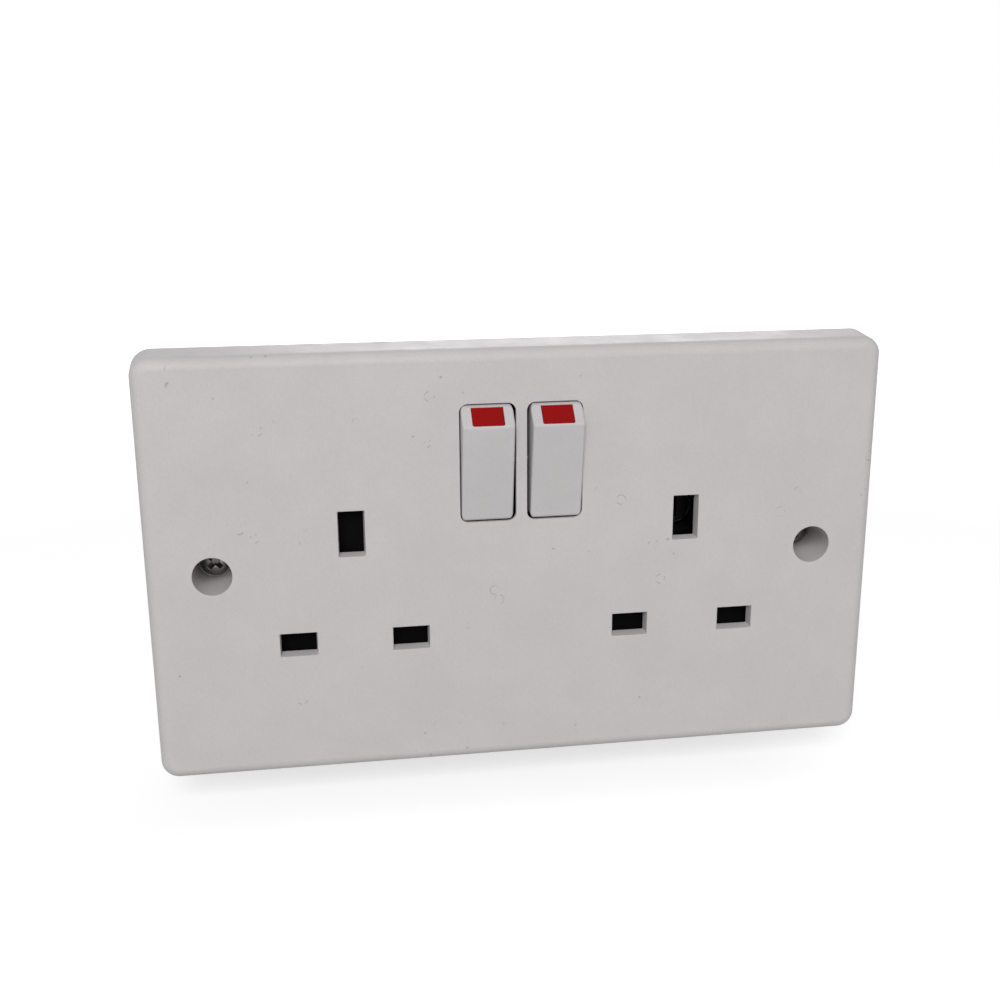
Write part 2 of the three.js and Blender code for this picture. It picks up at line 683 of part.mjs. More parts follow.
// The cam's screw, its head behind the cam
function camScrew() {
  const seat = camBack + GAP;
  return join(
    rodY(CAM_SCREW_HEAD_RADIUS, seat, seat + CAM_SCREW_HEAD_THICKNESS, 0, 0, FINE),
    rodY(CAM_SCREW_RADIUS, seat - CAM_SCREW_LENGTH + GAP, seat + GAP, 0, 0, SMALL),
  );
}

// The box in the wall, with its flange and the two lugs of the hinge
function hingeLug(side) {
  const x = side * lugX;
  const arm = [
    [-HINGE_DEPTH, hingeZ + KNUCKLE_RADIUS],
    [-FLANGE_THICKNESS, boxBottom + BOX_WALL / 2],
    [0, boxBottom + BOX_WALL / 2],
    [0, hingeZ],
    [-HINGE_DEPTH, hingeZ - KNUCKLE_RADIUS],
  ];
  return cut(
    join(
      rodX(KNUCKLE_RADIUS, x - lugHalf, x + lugHalf, -HINGE_DEPTH, hingeZ, FINE),
      slabX(arm, x - lugHalf, x + lugHalf),
    ),
    rodX(pinHoleRadius, x - lugHalf - PAST, x + lugHalf + PAST, -HINGE_DEPTH, hingeZ),
  );
}

const rivetY = keeperBack - KEEPER_LENGTH / 2;

function wallBox() {
  const shellOutline = roundedOutline(-boxHalfWidth, boxHalfWidth, boxBottom, boxTop, BOX_CORNER_RADIUS);
  const flangeOutline = roundedOutline(
    -flangeHalfWidth,
    flangeHalfWidth,
    boxBottom,
    flangeTop,
    PLATE_CORNER_RADIUS - RIM_WALL,
  );
  const roomOutline = roundedOutline(
    -boxInnerHalfWidth,
    boxInnerHalfWidth,
    boxInnerBottom,
    boxInnerTop,
    BOX_CORNER_RADIUS - BOX_WALL,
  );
  let box = join(slabY(shellOutline, -FLANGE_THICKNESS, BOX_DEPTH), slabY(flangeOutline, -FLANGE_THICKNESS, 0));
  box = cut(box, slabY(roomOutline, -FLANGE_THICKNESS - PAST, BOX_DEPTH - BOX_WALL));
  for (const { side } of SIDES) {
    box = join(box, hingeLug(side));
    const rivetX = lockX + (side * RIVET_SPACING) / 2;
    box = cut(
      box,
      rodY(FIXING_HOLE_RADIUS, BOX_DEPTH - BOX_WALL - PAST, BOX_DEPTH + PAST, side * fixingHoleX),
      rodZ(RIVET_RADIUS + GAP, boxInnerTop - PAST, boxTop + PAST, rivetX, rivetY, SMALL),
    );
  }
  return box;
}

// The keeper: a strip under the top wall with a lip in front of the locked cam
function keeperPlate() {
  const front = keeperBack - KEEPER_LENGTH;
  const profile = [
    [front, keeperTop],
    [front, keeperTop - KEEPER_THICKNESS],
    [keeperBack - KEEPER_THICKNESS, keeperTop - KEEPER_THICKNESS],
    [keeperBack - KEEPER_THICKNESS, keeperTop - KEEPER_LIP],
    [keeperBack, keeperTop - KEEPER_LIP],
    [keeperBack, keeperTop],
  ];
  let keeper = slabX(profile, lockX - KEEPER_WIDTH / 2, lockX + KEEPER_WIDTH / 2);
  for (const { side } of SIDES) {
    const x = lockX + (side * RIVET_SPACING) / 2;
    keeper = cut(keeper, rodZ(RIVET_RADIUS + GAP, keeperTop - KEEPER_LIP, keeperTop + PAST, x, rivetY, SMALL));
  }
  return keeper;
}

// A rivet through the keeper and the top wall, with a head at each end
function keeperRivet() {
  const lower = keeperTop - KEEPER_THICKNESS - GAP;
  const upper = boxTop + GAP;
  return join(
    rodZ(RIVET_HEAD_RADIUS, lower - RIVET_HEAD_THICKNESS, lower),
    rodZ(RIVET_RADIUS, lower - RIVET_HEAD_THICKNESS / 2, upper + RIVET_HEAD_THICKNESS / 2, 0, 0, SMALL),
    rodZ(RIVET_HEAD_RADIUS, upper, upper + RIVET_HEAD_THICKNESS),
  );
}

// Assembly
addPiece(root, "wall_box", wallBox(), dullWhite);
addPiece(root, "keeper_plate", keeperPlate(), steel);
addPiece(front, "faceplate", faceplate(), white);
addPiece(front, "inner_cover", innerCover(), dullWhite);
addPiece(front, "switch_carrier", switchCarrier(), black);

for (const { name, side } of SIDES) {
  const pinHalf = earOuter - GAP;
  const rivetX = lockX + (side * RIVET_SPACING) / 2;
  addPiece(root, `keeper_rivet_${name}`, keeperRivet(), steel, [rivetX, rivetY, 0]);
  addPiece(root, `hinge_pin_${name}`, rodX(HINGE_PIN_RADIUS, -pinHalf, pinHalf), steel, [
    side * lugX,
    -HINGE_DEPTH,
    hingeZ,
  ]);

  const screw = crossScrew(
    SCREW_HEAD_RADIUS,
    SCREW_HEAD_THICKNESS,
    SCREW_SHANK_RADIUS,
    bossBack - screwHeadFront - GAP,
  );
  addPiece(front, `face_screw_${name}`, screw, nickel, [side * faceScrewX, screwHeadFront, 0]);
  addPiece(front, `slot_backing_${name}`, slotBacking(side), black);

  const pivot = new THREE.Group();
  pivot.position.set(side * ROCKER_OFFSET, pivotY, pivotZ);
  front.add(pivot);
  const pinReach = carrierHalfWidth - ROCKER_OFFSET - GAP;
  const pinInner = ROCKER_OFFSET - GAP;
  const rockerPin = rodX(ROCKER_PIN_RADIUS, -pinInner, pinReach);
  const pinMesh = addPiece(pivot, `rocker_pin_${name}`, rockerPin, steel);
  pinMesh.rotation.z = side > 0 ? 0 : Math.PI;
  addPiece(pivot, `detent_spring_${name}`, detentSpring(), steel, [0, pocketFloor - GAP - pivotY, 0]);
  addPiece(pivot, `rocker_${name}`, rocker(), white);
  addPiece(pivot, `indicator_${name}`, indicator(), red);
}

for (const { name, x, z } of coverScrewPlaces) {
  const screw = crossScrew(
    COVER_SCREW_HEAD_RADIUS,
    COVER_SCREW_HEAD_THICKNESS,
    COVER_SCREW_RADIUS,
    COVER_SCREW_LENGTH,
  );
  const head = coverBack + GAP + COVER_SCREW_HEAD_THICKNESS;
  const mesh = addPiece(front, `cover_screw_${name}`, screw, steel, [x, head, z]);
  mesh.rotation.z = Math.PI;
}

lock.position.set(lockX, 0, lockZ);
addPiece(lock, "lock_housing", lockHousing(), darkZinc);
addPiece(lock, "lock_nut", lockNut(), nickel);
addPiece(lock, "lock_plug", lockPlug(), nickel);
addPiece(lock, "lock_cam", lockCam(), steel);
addPiece(lock, "cam_screw", camScrew(), steel);

export default root;
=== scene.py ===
import json
import math

import bmesh
import bpy
from mathutils import Matrix, Vector


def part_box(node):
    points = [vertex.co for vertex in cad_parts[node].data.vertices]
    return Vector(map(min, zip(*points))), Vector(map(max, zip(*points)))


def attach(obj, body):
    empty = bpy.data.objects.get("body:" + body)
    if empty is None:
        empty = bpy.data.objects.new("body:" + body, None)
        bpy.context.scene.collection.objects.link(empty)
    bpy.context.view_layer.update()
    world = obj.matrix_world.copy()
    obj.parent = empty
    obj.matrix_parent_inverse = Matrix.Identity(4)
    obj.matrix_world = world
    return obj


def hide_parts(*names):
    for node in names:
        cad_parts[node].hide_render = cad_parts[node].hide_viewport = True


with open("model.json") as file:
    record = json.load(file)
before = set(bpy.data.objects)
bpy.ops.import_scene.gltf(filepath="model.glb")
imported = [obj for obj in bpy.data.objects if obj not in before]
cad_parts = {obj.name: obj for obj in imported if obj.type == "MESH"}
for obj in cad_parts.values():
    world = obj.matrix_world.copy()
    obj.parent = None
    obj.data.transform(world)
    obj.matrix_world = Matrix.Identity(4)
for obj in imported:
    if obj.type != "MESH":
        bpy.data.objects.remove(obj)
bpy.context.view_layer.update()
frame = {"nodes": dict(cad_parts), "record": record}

# Sizes are in millimetres, and turned into metres when a mesh is made
MM = 0.001
GAP = 0.3
MOVING_GAP = 0.4
PAST = 1.0  # how far a cut reaches past what it cuts

# How many sides round shapes have
FINE_SIDES = 96
ROUND_SIDES = 64
HOLE_SIDES = 48
PIN_SIDES = 40
SMALL_SIDES = 32

# How wide the rounding of each piece's edges is
PLATE_EDGE = 0.16
BOX_EDGE = 0.25
SHEET_EDGE = 0.2
CARRIER_EDGE = 0.15
CAM_EDGE = 0.15
PLUG_EDGE = 0.1
NUT_EDGE = 0.08
MARKER_EDGE = 0.05
SCREW_EDGE = 0.03

# How close places, points or faces count as one
SAME_PLACE = 0.01
WELD_DISTANCE = 0.004
FACE_TOLERANCE = 0.001
FLAT_ANGLE = 0.2  # degrees


def corners(node):
    """Lowest and highest corner of a CAD node, in millimetres."""
    low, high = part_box(node)
    return Vector(low) / MM, Vector(high) / MM


# Camera of the photograph
CAMERA_PLACE = (-40.4, -245.3, 79.9)
CAMERA_TURN = -8.68  # degrees
CAMERA_DROP = 15.72
CAMERA_ROLL = -0.37
LENS = 45.72
SENSOR = 36.0
CLIP_START = 0.005  # metres

# Plate
plate_low, plate_high = corners("faceplate")
PLATE_HALF_WIDTH = plate_high.x
PLATE_HALF_HEIGHT = plate_high.z
PLATE_FRONT = plate_low.y
PLATE_WALL = 2.8
RIM_WALL = 2.0
PLATE_DRAFT = 0.8
PLATE_CORNER_RADIUS = 4.2
SMALLEST_CORNER_RADIUS = 0.5
FRONT_EDGE_RADIUS = 2.4
PLATE_BACK = PLATE_FRONT + PLATE_WALL
DRAFT_SLOPE = PLATE_DRAFT / -PLATE_FRONT

# Slots
SOCKET_X = 33.4
EARTH_SLOT = (5.2, 9.2)
EARTH_SLOT_Z = 7.15
SIDE_SLOT = (7.3, 4.8)
SIDE_SLOT_OFFSET = 11.1
SIDE_SLOT_Z = -15.05
SLOT_LEAN = 0.2  # how far each wall of a slot leans in through the plate

# Face screws
screw_low, screw_high = corners("face_screw_right")
FACE_SCREW_X = (screw_low.x + screw_high.x) / 2
SCREW_HEAD_FRONT = screw_low.y
SCREW_HEAD_RADIUS = (screw_high.x - screw_low.x) / 2
SCREW_HEAD_THICKNESS = 2.0
SCREW_SHANK_RADIUS = 1.5
FACE_SCREW_TURNS = {"left": 45, "right": 68}  # degrees
FACE_HOLE_RADIUS = 3.8
BOSS_RADIUS = 4.8
BOSS_BACK = screw_high.y + GAP

# Rockers
ROCKER_OFFSET = 6.6
RECESS_WIDTH = 11.0
RECESS_HEIGHT = 23.55
RECESS_FROM_TOP = 11.15
RECESS_CORNER_RADIUS = 1.6
RECESS_LIP = 1.0
RECESS_STEP = 0.35  # how far the recess widens behind its lip
ROCKER_SIDE_GAP = 0.43
ROCKER_CORNER_RADIUS = 1.9
ROCKER_CORNER_STEPS = 8
ROCKER_PLAY = 0.2  # how far each rocker has slid outwards on its pin
ROCKER_SWEEP_GAP = 0.18
PIVOT_DEPTH = 3.8
PIVOT_Y = PLATE_FRONT + PIVOT_DEPTH
PIVOT_Z = PLATE_HALF_HEIGHT - RECESS_FROM_TOP - RECESS_HEIGHT / 2
ROCKER_END_RADIUS = math.hypot(RECESS_HEIGHT / 2, PIVOT_DEPTH - RECESS_LIP) - ROCKER_SWEEP_GAP
ROCKER_END_HEIGHT = math.sqrt(ROCKER_END_RADIUS**2 - PIVOT_DEPTH**2)
ROCKER_RIDGE_HEIGHT = 3.5
ROCKER_RIDGE_FROM_TOP = 3.85
ROCKER_BODY_DEPTH = 2.2
ROCKER_PIN_RADIUS = 0.6
ROCKER_EDGE_RADIUS = 0.45
KEEL_WIDTH = 3.0
KEEL_DEPTH = 1.4
INDICATOR_WIDTH = 6.3
INDICATOR_EDGE = 0.25
INDICATOR_THICKNESS = 0.8
INDICATOR_CORNER = 0.4
INDICATOR_GAP = 0.06
INDICATOR_FLOOR_GAP = 0.1

# Cover
cover_low, cover_high = corners("inner_cover")
COVER_CORNER_RADIUS = 3.0
COVER_SCREW_INSET_X = 12.0
COVER_SCREW_INSET_Z = 6.0
COVER_SCREW_RADIUS = 0.9
COVER_SCREW_HEAD_RADIUS = 2.4
COVER_SCREW_HEAD_THICKNESS = 1.5
COVER_SCREW_LENGTH = 5.2
COVER_SCREW_TURN = 17  # degrees, of the first cover screw
COVER_SCREW_TURN_STEP = 31
POST_RADIUS = 2.8
COVER_EDGE_GAP = 0.5

# Carrier of the rockers
carrier_low, carrier_high = corners("switch_carrier")
CARRIER_WALL = 1.0
POCKET_RADIUS = ROCKER_END_RADIUS + GAP
CARRIER_RADIUS = POCKET_RADIUS + CARRIER_WALL
CARRIER_FLANGE = 1.6
CARRIER_FLANGE_THICKNESS = 1.7
CARRIER_FLANGE_INSET = 0.8
CARRIER_FLANGE_HALF_HEIGHT = CARRIER_RADIUS - CARRIER_FLANGE_INSET
CARRIER_HALF_WIDTH = carrier_high.x - CARRIER_FLANGE
CARRIER_FLOOR = 1.4
CARRIER_SIDES = 128

# Hinge
pin_low, pin_high = corners("hinge_pin_right")
HINGE_Y = (pin_low.y + pin_high.y) / 2
HINGE_Z = (pin_low.z + pin_high.z) / 2
HINGE_CENTRE = (HINGE_Y, HINGE_Z)
LUG_X = (pin_low.x + pin_high.x) / 2
HINGE_PIN_RADIUS = 0.8
KNUCKLE_RADIUS = 1.9
ROLL_RADIUS = 3.89  # of the plate's rolled bottom edge, about the hinge
LUG_HALF = 3.0
EAR_WIDTH = 3.0
EAR_INNER = LUG_HALF + MOVING_GAP
EAR_OUTER = EAR_INNER + EAR_WIDTH

# Box in the wall
_, box_high = corners("wall_box")
BOX_WALL = 2.0
BOX_CORNER_RADIUS = 3.5
FLANGE_THICKNESS = 1.5
FLANGE_SIDE_LAP = 1.9
FLANGE_TOP_LAP = 5.2
BOX_HALF_WIDTH = box_high.x - FLANGE_SIDE_LAP
BOX_TOP = box_high.z - FLANGE_TOP_LAP
BOX_BOTTOM = cover_low.z - COVER_EDGE_GAP - BOX_WALL
FIXING_HOLE_RADIUS = 2.5
FIXING_HOLE_INSET = 29.0
FIXING_HOLE_X = BOX_HALF_WIDTH - FIXING_HOLE_INSET

# Lock
LOCK_X = SOCKET_X
LOCK_Z = EARTH_SLOT_Z
LOCK_CENTRE = (LOCK_X, LOCK_Z)
housing_low, housing_high = corners("lock_housing")
plug_low, plug_high = corners("lock_plug")
nut_low, nut_high = corners("lock_nut")
cam_low, cam_high = corners("lock_cam")
LOCK_HEAD_RADIUS = 6.0
LOCK_HEAD_THICKNESS = 1.5
LOCK_BARREL_RADIUS = 5.0
THREAD_PITCH = 1.0
THREAD_DEPTH = 0.4
NUT_CHAMFER = 0.12  # as a share of the nut's radius
PLUG_RADIUS = 3.0
PLUG_HEAD_RADIUS = 3.7
PLUG_HEAD_THICKNESS = 1.0
PLUG_CHAMFER = 0.35
KEYWAY_WIDTH = 1.3
KEYWAY_LENGTH = 4.6
KEYWAY_DEPTH = 4.0
CAM_TIP_WIDTH = 6.0
TANG_HALF = 2.1
TANG_CORNER_RADIUS = 2.5
CAM_SCREW_RADIUS = 1.1
CAM_SCREW_HEAD_RADIUS = 3.4
CAM_SCREW_HEAD_THICKNESS = 1.5
CAM_SCREW_TURN = 30  # degrees
CAM_HOLE_DEPTH = 6.0

# Keeper
keeper_low, keeper_high = corners("keeper_plate")
rivet_low, rivet_high = corners("keeper_rivet_right")
KEEPER_THICKNESS = 1.2
RIVET_Y = (rivet_low.y + rivet_high.y) / 2
RIVET_SPACING = 12.0
RIVET_RADIUS = 1.2
RIVET_HEAD_RADIUS = 2.2
RIVET_HEAD_THICKNESS = 0.8
# The rivet head's form, as shares of its thickness and radius
RIVET_HEAD = ((0.0, 0.45), (0.15, 0.75), (0.4, 0.93), (0.75, 1.0), (1.0, 1.0))

SIDES = (("left", -1), ("right", 1))

behaviour = frame["record"]["behaviour"]
body_of = {node: body for body, nodes in behaviour["bodies"].items() for node in nodes}


# Mesh tools
def new_object(name, points, faces):
    mesh = bpy.data.meshes.new(name)
    mesh.from_pydata([Vector(point) * MM for point in points], [], faces)
    mesh.validate()
    work = bmesh.new()
    work.from_mesh(mesh)
    bmesh.ops.recalc_face_normals(work, faces=work.faces)
    work.to_mesh(mesh)
    work.free()
    made = bpy.data.objects.new(name, mesh)
    bpy.context.scene.collection.objects.link(made)
    return made


def loft(name, rings):
    """A closed skin over rings of points, flat at both ends."""
    count = len(rings[0])
    points = [point for ring in rings for point in ring]
    faces = [list(range(count)), list(range(len(points) - count, len(points)))]
    for level in range(len(rings) - 1):
        start = level * count
        for i in range(count):
            after = (i + 1) % count
            faces.append([start + i, start + after, start + count + after, start + count + i])
    return new_object(name, points, faces)


def block(low, high, name="block"):
    (x0, y0, z0), (x1, y1, z1) = low, high
    return loft(name, [[(x, y0, z0), (x, y1, z0), (x, y1, z1), (x, y0, z1)] for x in (x0, x1)])


def circle(radius, sides):
    turns = (2 * math.pi * (i + 0.5) / sides for i in range(sides))
    return [(radius * math.cos(turn), radius * math.sin(turn)) for turn in turns]


def spin(axis, profile, centre=(0.0, 0.0), sides=ROUND_SIDES, name="spin"):
    """A round solid about an axis, from pairs of place along the axis and radius."""
    a, b = centre
    rings = []
    for along, radius in profile:
        ring = circle(radius, sides)
        if axis == "x":
            rings.append([(along, a + u, b + v) for u, v in ring])
        elif axis == "y":
            rings.append([(a + u, along, b + v) for u, v in ring])
        else:
            rings.append([(a + u, b + v, along) for u, v in ring])
    return loft(name, rings)


def rod(axis, radius, start, end, centre=(0.0, 0.0), sides=ROUND_SIDES):
    return spin(axis, [(start, radius), (end, radius)], centre, sides, "rod")


def slab_x(outline, x0, x1, name="slab"):
    return loft(name, [[(x, y, z) for y, z in outline] for x in (x0, x1)])


def slab_y(outline, y0, y1, name="slab"):
    return loft(name, [[(x, y, z) for x, z in outline] for y in (y0, y1)])


def arc(centre, radius, start, end, steps):
    """Points along an arc, from one angle to another, in degrees."""
    turns = (math.radians(start + (end - start) * i / steps) for i in range(steps + 1))
    u, v = centre
    return [(u + radius * math.cos(turn), v + radius * math.sin(turn)) for turn in turns]


def rounded(left, right, bottom, top, radius, steps=10):
    """A rectangle with round corners."""
    return [
        *arc((right - radius, bottom + radius), radius, -90, 0, steps),
        *arc((right - radius, top - radius), radius, 0, 90, steps),
        *arc((left + radius, top - radius), radius, 90, 180, steps),
        *arc((left + radius, bottom + radius), radius, 180, 270, steps),
    ]


def settle(piece):
    """Makes the modifiers' result the piece's own mesh."""
    graph = bpy.context.evaluated_depsgraph_get()
    mesh = bpy.data.meshes.new_from_object(piece.evaluated_get(graph))
    piece.modifiers.clear()
    piece.data = mesh


def combine(first, others, operation):
    for other in others:
        modifier = first.modifiers.new("combine", "BOOLEAN")
        modifier.object = other
        modifier.operation = operation
        modifier.solver = "EXACT"
    settle(first)
    for other in others:
        bpy.data.objects.remove(other)
    return first


def join(first, *others):
    return combine(first, others, "UNION")


def cut(first, *others):
    return combine(first, others, "DIFFERENCE")


def keep_inside(first, *others):
    return combine(first, others, "INTERSECT")


def in_wall_face(edge):
    """Whether an edge lies in the face of the wall, which is at Y = 0."""
    return all(abs(point.co.y) < FACE_TOLERANCE * MM for point in edge.verts)


def soften(piece, width, segments=2, angle=35, at_wall=True):
    """Welds stray points, clears the extra edges that cuts leave, and rounds the sharp edges."""
    work = bmesh.new()
    work.from_mesh(piece.data)
    bmesh.ops.remove_doubles(work, verts=work.verts, dist=WELD_DISTANCE * MM)
    flat = math.radians(FLAT_ANGLE)
    bmesh.ops.dissolve_limit(work, angle_limit=flat, verts=work.verts, edges=work.edges)
    limit = math.radians(angle)
    sharp = [edge for edge in work.edges if edge.is_manifold and edge.calc_face_angle() > limit]
    if not at_wall:
        sharp = [edge for edge in sharp if not in_wall_face(edge)]
    bmesh.ops.bevel(
        work,
        geom=sharp,
        offset=width * MM,
        offset_type="OFFSET",
        segments=segments,
        profile=0.5,
        affect="EDGES",
        clamp_overlap=False,
        loop_slide=False,
    )
    work.to_mesh(piece.data)
    work.free()
    return piece


def shade(piece, angle=40):
    """Shades soft edges smooth and hard ones sharp, with wide faces kept flat."""
    piece.data.shade_smooth()
    piece.data.set_sharp_from_angle(angle=math.radians(angle))
    even = piece.modifiers.new("even shading", "WEIGHTED_NORMAL")
    even.keep_sharp = True
    even.weight = 80
    settle(piece)
    return piece


def dress(piece, node, material):
    """Names a finished piece, and lets it stand for its CAD node."""
    shade(piece)
    piece.name = f"{node}_fine"
    piece.data.name = piece.name
    piece.data.materials.clear()
    piece.data.materials.append(material)
    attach(piece, body_of[node])
    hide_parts(node)
    return piece


# Material tools
class Nodes:
    """A material's node tree, with short ways to add what the finishes share."""

    def __init__(self, name):
        self.material = bpy.data.materials.new(name)
        self.material.use_nodes = True
        self.tree = self.material.node_tree
        self.shader = self.tree.nodes["Principled BSDF"]
        self.place = self.add("ShaderNodeTexCoord").outputs["Object"]

    def add(self, kind, **values):
        node = self.tree.nodes.new(kind)
        for key, value in values.items():
            setattr(node, key, value)
        return node

    def link(self, output, target):
        self.tree.links.new(output, target)

    def stretched(self, scale, turn=(0, 0, 0)):
        mapping = self.add("ShaderNodeMapping")
        mapping.inputs["Scale"].default_value = scale
        mapping.inputs["Rotation"].default_value = [math.radians(angle) for angle in turn]
        self.link(self.place, mapping.inputs["Vector"])
        return mapping.outputs["Vector"]

    def noise(self, per_metre, detail=3.0, roughness=0.5, place=None):
        noise = self.add("ShaderNodeTexNoise")
        noise.inputs["Scale"].default_value = per_metre
        noise.inputs["Detail"].default_value = detail
        noise.inputs["Roughness"].default_value = roughness
        self.link(place or self.place, noise.inputs["Vector"])
        return noise.outputs["Fac"]

    def cells(self, per_metre, place=None):
        cells = self.add("ShaderNodeTexVoronoi")
        cells.inputs["Scale"].default_value = per_metre
        self.link(place or self.place, cells.inputs["Vector"])
        return cells.outputs["Distance"]

    def spread(self, source, low, high, to_low=0.0, to_high=1.0):
        """Maps a value from one range to another, and keeps it inside."""
        mapper = self.add("ShaderNodeMapRange")
        mapper.inputs["From Min"].default_value = low
        mapper.inputs["From Max"].default_value = high
        mapper.inputs["To Min"].default_value = to_low
        mapper.inputs["To Max"].default_value = to_high
        self.link(source, mapper.inputs["Value"])
        return mapper.outputs["Result"]

    def maths(self, operation, first, second):
        node = self.add("ShaderNodeMath", operation=operation)
        for socket, value in zip(node.inputs, (first, second)):
            if isinstance(value, (int, float)):
                socket.default_value = value
            else:
                self.link(value, socket)
        return node.outputs["Value"]

    def blend(self, factor, first, second):
        """A colour between two, each a colour or an output."""
        mix = self.add("ShaderNodeMix", data_type="RGBA")
        self.link(factor, mix.inputs["Factor"])
        for socket, value in ((mix.inputs[6], first), (mix.inputs[7], second)):
            if isinstance(value, tuple):
                socket.default_value = (*value, 1.0)
            else:
                self.link(value, socket)
        return mix.outputs[2]

    def bump(self, height, strength, depth, normal=None):
        bump = self.add("ShaderNodeBump")
        bump.inputs["Strength"].default_value = strength
        bump.inputs["Distance"].default_value = depth * MM
        self.link(height, bump.inputs["Height"])
        if normal:
            self.link(normal, bump.inputs["Normal"])
        return bump.outputs["Normal"]

    def set(self, **values):
        for key, value in values.items():
            socket = self.shader.inputs[key.replace("_", " ")]
            if hasattr(value, "is_output"):
                self.link(value, socket)
            else:
                socket.default_value = value


def curved_scratches(nodes):
    """Short curved marks: thin rings round scattered points, of which only parts show."""
    distance = nodes.cells(150)
    ring = nodes.maths(
        "MULTIPLY",
        nodes.spread(distance, 0.13, 0.145),
        nodes.spread(distance, 0.155, 0.17, 1.0, 0.0),
    )
    part = nodes.spread(nodes.noise(900, 0.0), 0.54, 0.6)
    place = nodes.spread(nodes.noise(45, 1.0), 0.52, 0.58)
    return nodes.maths("MULTIPLY", ring, nodes.maths("MULTIPLY", part, place))


def straight_scratches(nodes, turn):
    """Long hairlines, thin across and stretched along one direction."""
    stretched = nodes.stretched((110, 110, 5200), (0, turn, 0))
    lines = nodes.spread(nodes.noise(1.0, 1.0, 0.5, stretched), 0.72, 0.77)
    place = nodes.spread(nodes.noise(30, 1.0), 0.5, 0.6)
    return nodes.maths("MULTIPLY", lines, place)


def specks(nodes, per_metre, size):
    """Sparse round specks, each a share of a cell wide."""
    dots = nodes.spread(nodes.cells(per_metre), size / 2, size, 1.0, 0.0)
    place = nodes.spread(nodes.noise(per_metre / 3.1, 2.0), 0.56, 0.6)
    return nodes.maths("MULTIPLY", dots, place)


# Finishes
GREY_DIRT = (0.16, 0.15, 0.14)
MARK_STRENGTH = 0.42


def moulded_plastic(name, colour, roughness, grain=0.05, wear=1.0, dirt=GREY_DIRT, gloss=0.12):
    """Moulded plastic: faint mottling, sparse specks, fine scratches and a skin of fine grain."""
    nodes = Nodes(name)
    darker = tuple(channel * 0.955 for channel in colour)
    tint = nodes.blend(nodes.spread(nodes.noise(70, 5.0, 0.65), 0.36, 0.64), darker, colour)
    small = nodes.maths("MULTIPLY", specks(nodes, 900, 0.14), 0.4)
    marks = nodes.maths("ADD", specks(nodes, 260, 0.09), small)
    tint = nodes.blend(nodes.maths("MULTIPLY", marks, MARK_STRENGTH * wear), tint, dirt)
    fine = nodes.spread(nodes.noise(2300, 2.0), 0.35, 0.65)
    tint = nodes.blend(nodes.maths("MULTIPLY", fine, 0.05), tint, dirt)
    curved = curved_scratches(nodes)
    tint = nodes.blend(nodes.maths("MULTIPLY", curved, MARK_STRENGTH * wear), tint, dirt)
    hairlines = nodes.maths("MAXIMUM", straight_scratches(nodes, 34), straight_scratches(nodes, -58))
    shine = nodes.spread(nodes.noise(210, 4.0), 0.3, 0.7, roughness - 0.05, roughness + 0.06)
    shine = nodes.maths("ADD", shine, nodes.maths("MULTIPLY", hairlines, 0.14 * wear))
    skin = nodes.bump(nodes.noise(1900, 3.0, 0.6), grain, 0.06)
    waves = nodes.bump(nodes.noise(24, 1.0), 0.2, 0.3, skin)
    grooves = nodes.maths("SUBTRACT", 1.0, nodes.maths("MAXIMUM", hairlines, curved))
    nodes.set(
        Base_Color=tint,
        Roughness=shine,
        Normal=nodes.bump(grooves, 0.1 * wear, 0.02, waves),
        Specular_IOR_Level=gloss,
    )
    return nodes.material


def from_lock_axis(nodes):
    """How far a point lies from the lock's axis."""
    offset = nodes.add("ShaderNodeVectorMath", operation="SUBTRACT")
    nodes.link(nodes.place, offset.inputs[0])
    offset.inputs[1].default_value = (LOCK_X * MM, 0, LOCK_Z * MM)
    flat = nodes.add("ShaderNodeVectorMath", operation="MULTIPLY")
    nodes.link(offset.outputs["Vector"], flat.inputs[0])
    flat.inputs[1].default_value = (1, 0, 1)
    radius = nodes.add("ShaderNodeVectorMath", operation="LENGTH")
    nodes.link(flat.outputs["Vector"], radius.inputs[0])
    return radius.outputs["Value"]


def plated_metal(name, colour, roughness, painted_glint_ring=None):
    """Plated or pressed metal: fine brushing, cloudy tarnish, small pits, perhaps a ring of painted
    highlight.
    """
    nodes = Nodes(name)
    lines = nodes.noise(1.0, 2.0, 0.6, nodes.stretched((2600, 120, 2600)))
    clouds = nodes.noise(380, 4.0, 0.6)
    darker = tuple(channel * 0.7 for channel in colour)
    tint = nodes.blend(nodes.spread(clouds, 0.35, 0.65), darker, colour)
    # A brighter ring round the lock axis, painted into the colour as a glint on the plug's face
    if painted_glint_ring:
        inner, outer, bright = painted_glint_ring
        ring = nodes.spread(from_lock_axis(nodes), inner * MM, outer * MM)
        painted_glint = nodes.maths("MULTIPLY", ring, nodes.spread(clouds, 0.4, 0.6))
        tint = nodes.blend(painted_glint, tint, bright)
    shine = nodes.maths(
        "ADD",
        nodes.spread(clouds, 0.3, 0.7, roughness + 0.1, roughness - 0.04),
        nodes.maths("MULTIPLY", lines, 0.08),
    )
    pits = nodes.spread(nodes.cells(1500), 0.0, 0.12)
    relief = nodes.bump(lines, 0.12, 0.01)
    nodes.set(
        Base_Color=tint,
        Metallic=1.0,
        Roughness=shine,
        Normal=nodes.bump(pits, 0.1, 0.01, relief),
    )
    return nodes.material


